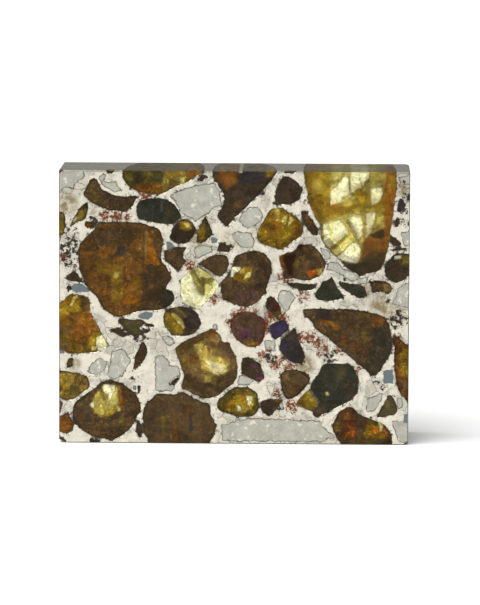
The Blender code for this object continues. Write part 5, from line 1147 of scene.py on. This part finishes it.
SMALL_CRYSTALS = {
    "upper_fleck": (Slot.DARK, Hue.UMBER, (
        (41.4, 58.9), (42.2, 58.9), (42.3, 57.5), (41.8, 56.4), (40.8, 56.6), (41.0, 58.0))),
    "right_fleck": (Slot.DARK, Hue.UMBER, (
        (40.1, 54.3), (41.4, 53.5), (42.9, 52.2), (42.7, 51.6), (40.9, 51.3), (40.4, 52.2), (40.0, 52.9))),
    "right_bar": (Slot.DARK, Hue.UMBER, (
        (39.9, 50.4), (40.9, 50.8), (42.7, 51.1), (44.3, 51.0), (44.3, 50.6), (42.5, 50.5), (41.6, 50.25))),
    "foot_wedge": (Slot.DARK, Hue.UMBER, (
        (-24.75, 6.2), (-23.9, 5.4), (-23.6, 3.1), (-23.9, 1.0), (-24.9, 2.2), (-25.1, 3.5))),
    "ledge_chip": (Slot.DARK, Hue.UMBER, (
        (-32.1, 29.6), (-30.3, 29.9), (-29.75, 30.3), (-28.9, 29.7), (-27.9, 28.6), (-28.0, 27.4), (-29.2, 27.9),
        (-30.8, 28.6))),
    "ledge_sliver": (Slot.DARK, Hue.UMBER, (
        (-22.4, 31.2), (-21.4, 31.0), (-20.3, 30.7), (-20.6, 30.1), (-22.6, 30.3))),
    "low_ledge_sliver": (Slot.DARK, Hue.UMBER, ((-22.9, 29.5), (-21.6, 29.6), (-22.2, 28.6), (-22.8, 28.4))),
    "left_strip": (Slot.BROWN, Hue.BROWN, (
        (-42.6, 21.9), (-41.2, 22.2), (-41.5, 21.0), (-41.9, 19.5), (-43.0, 19.4), (-42.8, 21.0))),
    "left_edge_olive": (Slot.BROWN, Hue.TAN, (
        (-48.0, 11.2), (-45.0, 11.2), (-43.9, 10.5), (-44.2, 9.0), (-45.0, 7.4), (-48.0, 7.2))),
    "black_comma": (Slot.DARK, Hue.GREEN_BLACK, (
        (-16.3, 15.1), (-16.0, 15.8), (-15.1, 16.9), (-14.25, 17.3), (-13.9, 17.05), (-14.4, 16.2), (-15.0, 15.6),
        (-15.1, 14.9))),
    "small_triangle": (Slot.DARK, Hue.UMBER, ((-26.7, 16.5), (-26.1, 17.3), (-25.2, 16.5))),
    "small_bar": (Slot.DARK, Hue.UMBER, ((-24.7, 15.0), (-24.0, 14.9), (-24.2, 12.9), (-24.6, 12.8))),
    "top_chip": (Slot.DARK, Hue.GREEN_BLACK, (
        (-9.6, 68.1), (-9.25, 68.8), (-8.0, 69.7), (-7.3, 69.5), (-6.6, 68.8), (-7.5, 68.5), (-8.2, 67.9))),
    "nut_comma": (Slot.DARK, Hue.UMBER, ((9.7, 62.5), (10.2, 62.7), (11.0, 62.2), (11.1, 61.75), (10.3, 61.9))),
    "ridge_bit": (Slot.DARK, Hue.UMBER, ((7.0, 64.6), (7.1, 65.0), (7.9, 65.1), (7.7, 64.5))),
    "orange_sliver": (Slot.BROWN, Hue.CINNAMON, (
        (-38.5, 56.5), (-37.9, 57.3), (-36.0, 57.3), (-35.7, 56.7), (-36.4, 55.9), (-37.7, 55.7))),
    "left_shadow": (Slot.DARK, Hue.UMBER, ((-42.8, 40.8), (-41.9, 40.9), (-41.8, 39.6), (-42.7, 39.4))),
    "corner_garnet": (Slot.BROWN, Hue.RUST, ((-46.0, 72.0), (-44.0, 72.0), (-43.9, 70.0), (-46.0, 69.7))),
    "top_speck": (Slot.DARK, Hue.UMBER, ((12.6, 72.0), (17.0, 72.0), (15.4, 70.1), (12.9, 70.1))),
    "left_top_speck": (Slot.DARK, Hue.UMBER, ((-32.6, 69.9), (-31.1, 69.7), (-30.2, 72.0), (-32.6, 72.0))),
    # Painted shade: a dark sliver in the chipped bottom-left corner, where the chip lies in shade.
    "left_corner_speck": (Slot.DARK, Hue.UMBER, (
        (-46.0, 1.9), (-44.7, 1.8), (-44.0, 1.3), (-42.8, 0.4), (-46.0, 0.4))),
    "underside_speck": (Slot.DARK, Hue.UMBER, ((-37.1, 1.2), (-34.6, 0.8), (-34.4, -1.5), (-37.1, -1.5))),
    "right_edge_speck": (Slot.DARK, Hue.BLUE_BLACK, ((44.2, 65.0), (46.5, 65.2), (46.5, 63.0), (44.1, 63.4))),
    "right_mid_speck": (Slot.DARK, Hue.BLUE_BLACK, ((41.5, 34.7), (42.4, 34.9), (42.8, 33.5), (41.8, 33.6))),
    "right_low_speck": (Slot.DARK, Hue.UMBER, (
        (40.9, 32.4), (41.8, 32.5), (43.1, 31.9), (43.1, 31.5), (41.8, 31.9))),
    "right_edge_sliver": (Slot.DARK, Hue.UMBER, ((43.6, 33.1), (46.5, 33.0), (46.5, 32.6), (43.9, 32.8))),
}


def depth_inside(points: np.ndarray, outline: Outline) -> np.ndarray:
    """How far points lie inside an outline.

    Args:
        points: (x, z) of each point, in millimetres.
        outline: the closed outline's corners.

    Returns:
        The distance to the outline of each point, negative outside it.
    """
    nearest = np.full(len(points), np.inf)
    inside = np.zeros(len(points), bool)
    corners = np.array(outline, float)
    for here, there in zip(corners, np.roll(corners, -1, axis=0)):
        along = there - here
        offset = points - here
        share = np.clip(offset @ along / (along @ along), 0.0, 1.0)
        nearest = np.minimum(nearest, np.linalg.norm(offset - share[:, None] * along, axis=1))
        if here[1] != there[1]:
            crosses = (here[1] > points[:, 1]) != (there[1] > points[:, 1])
            inside ^= crosses & (offset[:, 0] < offset[:, 1] * along[0] / along[1])
    return np.where(inside, nearest, -nearest)


def smooth_step(values: np.ndarray) -> np.ndarray:
    """0 below 0 and 1 above 1, with a smooth rise between."""
    held = np.clip(values, 0.0, 1.0)
    return held * held * (3.0 - 2.0 * held)


def drift(place: Vector, size: float, reach: float) -> Vector:
    """A smooth random shift.

    Args:
        place: the point, in millimetres.
        size: how far apart its ups and downs lie.
        reach: about how far it moves a point.
    """
    return noise.noise_vector(place / size) * reach


def settled(piece: bpy.types.Object) -> bpy.types.Mesh:
    """The mesh that a piece's modifiers leave, as a new mesh."""
    view = bpy.context.evaluated_depsgraph_get()
    view.update()
    return bpy.data.meshes.new_from_object(piece.evaluated_get(view), depsgraph=view)


def scaffold(name: str, mesh: bpy.types.Mesh, home: bpy.types.Collection) -> bpy.types.Object:
    """An object that only helps to shape others."""
    helper = bpy.data.objects.new(name, mesh)
    home.objects.link(helper)
    return helper


def write_numbers(mesh: bpy.types.Mesh, name: str, values: np.ndarray) -> None:
    """Keep one number for each point of a mesh."""
    layer = mesh.attributes.new(name, "FLOAT", "POINT")
    layer.data.foreach_set("value", values.astype(np.float32))


def places_of(mesh: bpy.types.Mesh) -> np.ndarray:
    """The points of a mesh, in millimetres."""
    places = np.empty(len(mesh.vertices) * 3, np.float32)
    mesh.vertices.foreach_get("co", places)
    return places.reshape(-1, 3).astype(float) / MM


@dataclass
class SawnBlock:
    """The block's outer form, with a fine grid on its faces to carry what is drawn on them."""

    low: Vector
    high: Vector
    chamfer: float = 0.28 * MM
    pitch: float = 0.64 * MM
    across: float = 1.1 * MM
    chips: tuple[tuple[tuple[float, float, float], ...], ...] = (
        ((0, 0, 0.9), (2.6, 0, 0), (0, 6.0, 0)),
        ((-0.0, 0, 1.3), (-1.4, 0, 0), (-0.0, 4.0, 0)),
        ((-0.0, -0.0, -1.0), (-0.9, -0.0, -0.0), (-0.0, -3.0, -0.0)),
        ((0, 0, -0.7), (0.8, 0, -0.0), (0, 2.0, -0.0)),
    )

    @property
    def planes(self) -> tuple[tuple[int, float, float], ...]:
        """Each ground plane: its axis, its side and where it lies."""
        ends = zip(range(3), self.low, self.high)
        return tuple(plane for axis, low, high in ends for plane in ((axis, -1.0, low), (axis, 1.0, high)))

    def mesh(self) -> bpy.types.Mesh:
        """The block, chamfered, gridded and chipped."""
        form = bmesh.new()
        bmesh.ops.create_cube(form, size=1.0)
        size = self.high - self.low
        bmesh.ops.scale(form, verts=form.verts, vec=size)
        bmesh.ops.translate(form, verts=form.verts, vec=(self.low + self.high) / 2)
        bmesh.ops.bevel(form, geom=form.edges[:], offset=self.chamfer, affect="EDGES", segments=2, profile=0.5,
                        material=-1)
        coarser = 1.0
        for axis, step in ((0, self.pitch), (2, self.pitch), (1, self.across)):
            along = [edge for edge in form.edges if self.runs_along(edge, axis)]
            cuts = int(size[axis] / (step * coarser))
            bmesh.ops.subdivide_edges(form, edges=along, cuts=cuts, use_grid_fill=True)
        front = [edge for edge in form.edges if all(self.on_front(point) for point in edge.verts)]
        bmesh.ops.subdivide_edges(form, edges=front, cuts=1, use_grid_fill=True)
        for corner, chip in zip(self.chip_corners(), self.chips):
            self.chip(form, [corner + Vector(offset) * MM for offset in chip])
        bmesh.ops.triangulate(form, faces=form.faces)
        made = bpy.data.meshes.new("sawn_block")
        form.to_mesh(made)
        form.free()
        return made

    def on_front(self, point: bmesh.types.BMVert) -> bool:
        """Whether a point lies on the polished front."""
        return point.co.y < self.low.y + 0.01 * MM

    def runs_along(self, edge: bmesh.types.BMEdge, axis: int) -> bool:
        """Whether an edge runs the block's length along an axis."""
        run = edge.verts[1].co - edge.verts[0].co
        return abs(run[axis]) > 0.5 * (self.high - self.low)[axis]

    def chip_corners(self) -> tuple[Vector, ...]:
        """The corners that are chipped, in the order of the chips."""
        low, high = self.low, self.high
        return (
            Vector((low.x, low.y, low.z)),
            Vector((high.x, low.y, low.z)),
            Vector((high.x, high.y, high.z)),
            Vector((low.x, low.y, high.z)),
        )

    def chip(self, form: bmesh.types.BMesh, points: list[Vector]) -> None:
        """Break a corner off along the plane through three points."""
        normal = (points[1] - points[0]).cross(points[2] - points[0])
        if normal.dot(points[0] - (self.low + self.high) / 2) < 0.0:
            normal.negate()
        cut = bmesh.ops.bisect_plane(form, geom=form.verts[:] + form.edges[:] + form.faces[:], plane_co=points[0],
                                     plane_no=normal, clear_outer=True)
        rim = [item for item in cut["geom_cut"] if isinstance(item, bmesh.types.BMEdge)]
        bmesh.ops.contextual_create(form, geom=rim)

    def trim(self, piece: bpy.types.Object, sawn: bpy.types.Object) -> bpy.types.Mesh:
        """Saw a piece flush with the block."""
        cut = piece.modifiers.new("sawn flush", "BOOLEAN")
        cut.operation = "INTERSECT"
        cut.solver = "MANIFOLD"
        cut.object = sawn
        return settled(piece)


@dataclass
class CrystalForm:
    """A crystal's rounded form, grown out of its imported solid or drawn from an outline."""

    block: SawnBlock
    overrun: float = 1.5 * MM
    swelling: float = 0.27 * MM
    seam: float = 0.03 * MM
    broad_corner: float = 1.4 * MM
    fine_corner: float = 0.3 * MM
    step: float = 1.2
    wander: float = 0.16
    waist: float = 0.55

    def from_solid(self, solid: bpy.types.Object) -> bpy.types.Mesh:
        """A crystal grown out of its solid, which is merged first, with each flat region as one face."""
        cage = bmesh.new()
        cage.from_mesh(solid.data)
        bmesh.ops.remove_doubles(cage, verts=cage.verts, dist=0.002 * MM)
        bmesh.ops.dissolve_limit(cage, angle_limit=math.radians(1.0), verts=cage.verts, edges=cage.edges)
        cage.normal_update()
        for point, away in [(point, point.normal * point.calc_shell_factor()) for point in cage.verts]:
            point.co += away * self.swelling
        self.push_out(cage)
        self.round_corners(cage, self.broad_corner, 2)
        return self.shape(cage, 2)

    def from_outline(self, outline: Outline, run: Run) -> bpy.types.Mesh:
        """A crystal from where it meets the front to its far end, inside the metal or past the back."""
        cage = bmesh.new()
        stepped = self.stepped(outline)
        front = self.block.low.y
        rings = []
        for depth in (-self.overrun / MM, run.reach * self.waist, run.reach):
            share = (max(depth, 0.0) / run.reach) ** 2
            rings.append([cage.verts.new((x * MM, front + depth * MM, z * MM)) for x, z in run.at(stepped, share)])
        cage.faces.new(rings[0])
        cage.faces.new(rings[-1])
        for near, far in zip(rings, rings[1:]):
            for index, point in enumerate(near):
                cage.faces.new((near[index - 1], point, far[index], far[index - 1]))
        bmesh.ops.recalc_face_normals(cage, faces=cage.faces)
        self.round_corners(cage, self.fine_corner, 1)
        return self.shape(cage, 1)

    def stepped(self, outline: Outline) -> np.ndarray:
        """The outline with its long sides split, so that they can wander."""
        corners = np.array(outline, float)
        points = []
        for here, there in zip(corners, np.roll(corners, -1, axis=0)):
            parts = math.ceil(np.linalg.norm(there - here) / self.step)
            points += [here + (there - here) * part / parts for part in range(parts)]
        return np.array(points)

    def shape(self, cage: bmesh.types.BMesh, fineness: int) -> bpy.types.Mesh:
        """Split a cage finer and let its sides wander.

        Args:
            cage: the crystal's corners, which stand out of the block. It is used up.
            fineness: how many times each face is split in four.

        Returns:
            The crystal's form, which stands out of the block where it will be sawn.
        """
        mesh = bpy.data.meshes.new("crystal_form")
        cage.to_mesh(mesh)
        cage.free()
        helper = scaffold("crystal_form", mesh, bpy.context.scene.collection)
        finer = helper.modifiers.new("finer", "SUBSURF")
        finer.subdivision_type = "SIMPLE"
        finer.levels = finer.render_levels = fineness
        form = settled(helper)
        bpy.data.objects.remove(helper)
        for point in form.vertices:
            place = point.co / MM
            sway = drift(place, 2.6, 0.7) + drift(place, 1.1, 0.9) + drift(place, 0.5, 1.2)
            point.co += sway * (self.wander * MM)
        return form

    def round_corners(self, cage: bmesh.types.BMesh, width: float, segments: int) -> None:
        """Bevel the edges that run inwards between two sides that turn."""
        edges = [edge for edge in cage.edges if self.runs_inwards(edge)]
        bmesh.ops.bevel(cage, geom=edges, offset=width, offset_type="OFFSET", affect="EDGES", segments=segments,
                        profile=0.5, material=-1, clamp_overlap=True)

    def runs_inwards(self, edge: bmesh.types.BMEdge) -> bool:
        """Whether an edge runs from the front towards the back, between two sides that turn."""
        run = edge.verts[1].co - edge.verts[0].co
        return abs(run.y) > 0.3 * run.length and edge.calc_face_angle(0.0) > 0.1

    def push_out(self, cage: bmesh.types.BMesh) -> None:
        """Move what lies on the block's planes outwards, past the saw."""
        reach = 0.02 * MM
        for axis, side, where in self.block.planes:
            for point in cage.verts:
                if side * (point.co[axis] - where) > -reach:
                    point.co[axis] = where + side * self.overrun

    def pocket(self, form: bpy.types.Mesh) -> bpy.types.Mesh:
        """The pocket that a form fills, with a hair's breadth of seam."""
        hollow = form.copy()
        for point, normal in zip(hollow.vertices, [Vector(point.normal) for point in form.vertices]):
            point.co += normal * self.seam
        return hollow


@dataclass
class Crystals:
    """All the olivine of the block."""

    block: SawnBlock
    sawn: bpy.types.Object
    pockets: bpy.types.Collection
    form: CrystalForm
    finishes: dict[Slot, bpy.types.Material] = field(default_factory=dict)
    walls: list[BVHTree] = field(default_factory=list)
    rim_shade_width: float = 0.6

    def build(self) -> None:
        """Make each crystal that has a solid, then the small ones that have none."""
        self.finishes = {slot: finish.material() for slot, finish in OLIVINE.items()}
        slots = {part["node"]: part["material_slot"] for part in frame["record"]["subparts"]}
        for name, look in LOOKS.items():
            node = "olivine_" + name
            if look.run:
                form = self.form.from_outline(look.outline, look.run)
            else:
                form = self.form.from_solid(frame["nodes"][node])
            piece = self.piece(name, form, Slot(slots[node]), look)
            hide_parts(node)
        for name, (slot, hue, outline) in SMALL_CRYSTALS.items():
            self.piece("small_" + name, self.form.from_outline(outline, SMALL_RUN), slot, Look(hue, Hue.UMBER))
        LOG.info("crystals: %d", len(LOOKS) + len(SMALL_CRYSTALS))

    def piece(self, name: str, form: bpy.types.Mesh, slot: Slot, look: Look) -> bpy.types.Object:
        """Saw and dress one crystal, and keep its pocket.

        Args:
            name: the crystal's name.
            form: its form, which stands out of the block where it will be sawn.
            slot: the material slot it takes its finish from.
            look: its colours.

        Returns:
            The finished piece.
        """
        scaffold("pocket_" + name, self.form.pocket(form), self.pockets)
        self.walls.append(BVHTree.FromPolygons(
            [point.co.copy() for point in form.vertices], [tuple(face.vertices) for face in form.polygons]))
        helper = scaffold("uncut_" + name, form, bpy.context.scene.collection)
        mesh = self.block.trim(helper, self.sawn)
        bpy.data.objects.remove(helper)
        mesh.name = name
        mesh.materials.clear()
        mesh.materials.append(self.finishes[slot])
        mesh.polygons.foreach_set("material_index", np.zeros(len(mesh.polygons), np.int32))
        self.tint(mesh, look, self.walls[-1])
        mesh.shade_smooth()
        mesh.set_sharp_from_angle(angle=math.radians(38.0))
        piece = bpy.data.objects.new(name + "_crystal", mesh)
        bpy.context.scene.collection.objects.link(piece)
        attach(piece, "root")
        return piece

    def tint(self, mesh: bpy.types.Mesh, look: Look, wall: BVHTree) -> None:
        """Keep the crystal's drawn colours on its points.

        Args:
            mesh: the sawn crystal.
            look: its colours.
            wall: its form before it was sawn, which gives how near a point is to the rim.
        """
        places = places_of(mesh)
        shifted = np.array([Vector(place) + drift(Vector(place), 1.8, 0.3) for place in places])
        flat = shifted[:, (0, 2)]
        inwards = np.array([wall.find_nearest(Vector(place) * MM)[3] for place in places]) / MM
        # Painted shade: near its edge the crystal takes the rim hue, darker where the pocket wall shows through.
        share = smooth_step(inwards / self.rim_shade_width)[:, None]
        colour = look.rim.linear * (1.0 - share) + look.hue.linear * share
        for patch in look.patches:
            depth = depth_inside(flat, patch.outline)
            share = patch.strength * smooth_step(0.5 + 0.5 * depth / patch.feather)
            if patch.feather < 0.16:
                crack = 0.6 * patch.strength * np.exp(-((depth + 0.2) / 0.15) ** 2)
                colour += (Hue.MOSS.linear - colour) * crack[:, None]
            colour += (patch.hue.linear - colour) * share[:, None]
        layer = mesh.attributes.new("tint", "FLOAT_COLOR", "POINT")
        layer.data.foreach_set("color", np.column_stack([colour, np.ones(len(colour))]).ravel())
        low, high = self.block.low / MM, self.block.high / MM
        sides = [np.abs(places[:, axis] - end[axis]) for axis in (0, 2) for end in (low, high)]
        write_numbers(mesh, "ground", (np.min(sides, axis=0) < 0.1).astype(float))


@dataclass
class MetalMatrix:
    """The iron-nickel: the block less every crystal's pocket."""

    block: SawnBlock
    sawn: bpy.types.Object
    pockets: bpy.types.Collection
    walls: list[BVHTree]
    node: str = "iron_nickel_matrix"
    rim_reach: float = 4.0

    def build(self) -> None:
        """Cut the pockets and dress the metal."""
        helper = scaffold("uncut_metal", self.sawn.data.copy(), bpy.context.scene.collection)
        hollow = helper.modifiers.new("pockets", "BOOLEAN")
        hollow.operation = "DIFFERENCE"
        hollow.solver = "MANIFOLD"
        hollow.operand_type = "COLLECTION"
        hollow.collection = self.pockets
        mesh = settled(helper)
        bpy.data.objects.remove(helper)
        mesh.name = self.node
        finish = MetalFinish()
        mesh.materials.clear()
        for material in (finish.polished(), finish.ground(), finish.pocket_wall()):
            mesh.materials.append(material)
        mesh.polygons.foreach_set("material_index", self.faces_by_finish(mesh))
        self.draw_fields(mesh)
        mesh.shade_smooth()
        mesh.set_sharp_from_angle(angle=math.radians(30.0))
        piece = bpy.data.objects.new("metal_matrix", mesh)
        bpy.context.scene.collection.objects.link(piece)
        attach(piece, "root")
        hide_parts(self.node)
        LOG.info("metal: %d faces", len(mesh.polygons))

    def faces_by_finish(self, mesh: bpy.types.Mesh) -> np.ndarray:
        """0 for the polished front and back, 1 for the ground sides and 2 for pocket walls."""
        kinds = np.full(len(mesh.polygons), 2, np.int32)
        slack = 0.3 * MM
        for index, face in enumerate(mesh.polygons):
            for axis, side, where in self.block.planes:
                if side * (face.center[axis] - where) > -slack and side * face.normal[axis] > 0.3:
                    kinds[index] = 0 if axis == 1 and side * face.normal[axis] > 0.95 else 1
                    break
        return kinds

    def draw_fields(self, mesh: bpy.types.Mesh) -> None:
        """Keep on each point how deep it lies in each field, and how near a crystal is."""
        places = places_of(mesh)
        count = len(places)
        flat = places[:, (0, 2)]
        near = np.array([self.nearest_crystals(Vector(place) * MM) for place in places])
        rim = near[:, 0]
        behind = places[:, 1] > self.block.low.y / MM + 1.0
        cloud = np.array([noise.noise(Vector(place) / 5.2) for place in places])
        field_here = np.minimum(rim - 1.1, 9.0 * (cloud - 0.08))
        plessite = np.max([depth_inside(flat, outline) for outline in PLESSITE], axis=0)
        troilite = np.max([depth_inside(flat, outline) for outline in TROILITE], axis=0)
        write_numbers(mesh, "plessite", np.where(behind, field_here, np.minimum(plessite, rim - 0.25)))
        faint = np.max([depth_inside(flat, outline) for outline in FAINT], axis=0)
        write_numbers(mesh, "faint", np.where(behind, -1.0, faint))
        write_numbers(mesh, "troilite", np.where(behind, -1.0, troilite))
        write_numbers(mesh, "rim", rim)
        write_numbers(mesh, "seam", near.sum(axis=1))
        for name, spots in (("rust", RUSTY), ("specks", SPECKLED), ("stain", STAINED)):
            share = np.zeros(count)
            for x, z, reach in spots:
                away = np.hypot(flat[:, 0] - x, flat[:, 1] - z)
                share = np.maximum(share, smooth_step(1.5 - away / reach))
            scattered = smooth_step((cloud - 0.2) * 3.0)
            write_numbers(mesh, name, np.where(behind, scattered, share))

    def nearest_crystals(self, place: Vector) -> tuple[float, float]:
        """How far the nearest crystal and the next nearest are, in millimetres."""
        first = second = self.rim_reach * MM
        for wall in self.walls:
            found = wall.find_nearest(place, second)[3]
            if found is not None:
                first, second = (found, first) if found < first else (first, found)
        return first / MM, second / MM


@dataclass
class Studio:
    """A plain white room, soft light and the photographer's place."""

    eye: tuple[float, float, float] = (25.7 * MM, -1100.0 * MM, 175.3 * MM)
    turn: float = -1.27
    dip: float = 7.25
    roll: float = 0.23
    focal_pixels: float = 4278.0
    frame_height: float = 605.0
    floor_size: float = 14.0
    room_light: float = 0.45

    def build(self) -> None:
        """Set the camera, the floor and the lights."""
        self.camera()
        self.floor()
        self.daylight()
        self.sun(Vector((-0.55, -0.5, 1.0)), 4.2)

    def camera(self) -> None:
        """The camera at the photograph's place, with its length of lens."""
        lens = bpy.data.cameras.new("camera")
        lens.sensor_width = 36.0
        lens.lens = self.focal_pixels / self.frame_height * lens.sensor_width
        lens.clip_start = 0.05
        lens.clip_end = 100.0
        seen_from = bpy.data.objects.new("camera", lens)
        bpy.context.scene.collection.objects.link(seen_from)
        seen_from.rotation_mode = "XYZ"
        seen_from.location = self.eye
        turn, dip, roll = math.radians(self.turn), math.radians(self.dip), math.radians(self.roll)
        ahead = Vector((math.sin(turn) * math.cos(dip), math.cos(turn) * math.cos(dip), -math.sin(dip)))
        seen_from.rotation_euler = ahead.to_track_quat("-Z", "Y").to_euler()
        seen_from.rotation_euler.rotate_axis("Z", roll)
        bpy.context.scene.camera = seen_from

    def floor(self) -> None:
        """A white floor, wide enough to meet the white of the room."""
        form = bmesh.new()
        bmesh.ops.create_grid(form, x_segments=2, y_segments=2, size=self.floor_size)
        bmesh.ops.translate(form, verts=form.verts, vec=(0.0, 0.0, -0.02 * MM))
        mesh = bpy.data.meshes.new("floor")
        form.to_mesh(mesh)
        form.free()
        floor = bpy.data.objects.new("floor", mesh)
        bpy.context.scene.collection.objects.link(floor)
        mesh.materials.append(Graph("white_floor").finish(Base_Color=rgba(0.9, 0.9, 0.9), Roughness=0.7))

    def daylight(self) -> None:
        """Even white light from all round."""
        world = bpy.data.worlds.new("studio")
        world.use_nodes = True
        world.node_tree.nodes["Background"].inputs["Color"].default_value = rgba(1.0, 1.0, 1.0)
        world.node_tree.nodes["Background"].inputs["Strength"].default_value = self.room_light
        bpy.context.scene.world = world

    def sun(self, side: Vector, strength: float) -> None:
        """A broad soft light from one side, even over the whole floor."""
        light = bpy.data.lights.new("soft_light", "SUN")
        light.angle = math.radians(70.0)
        light.energy = strength
        lamp = bpy.data.objects.new("soft_light", light)
        bpy.context.scene.collection.objects.link(lamp)
        lamp.rotation_euler = (-side).to_track_quat("-Z", "Y").to_euler()


def main() -> None:
    """Build the dressed block and the room round it."""
    logging.basicConfig(level=logging.INFO, format="%(name)s %(message)s")
    bpy.context.scene.view_settings.view_transform = "Standard"
    Studio().build()
    low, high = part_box(MetalMatrix.node)
    block = SawnBlock(low, high)
    pockets = bpy.data.collections.new("pockets")
    bpy.context.scene.collection.children.link(pockets)
    sawn = scaffold("sawn_block", block.mesh(), bpy.context.scene.collection)
    LOG.info("block: %d faces", len(sawn.data.polygons))
    crystals = Crystals(block, sawn, pockets, CrystalForm(block))
    crystals.build()
    MetalMatrix(block, sawn, pockets, crystals.walls).build()
    for helper in [sawn, *pockets.objects]:
        bpy.data.objects.remove(helper)
    bpy.data.collections.remove(pockets)


if __name__ == "__main__":
    main()
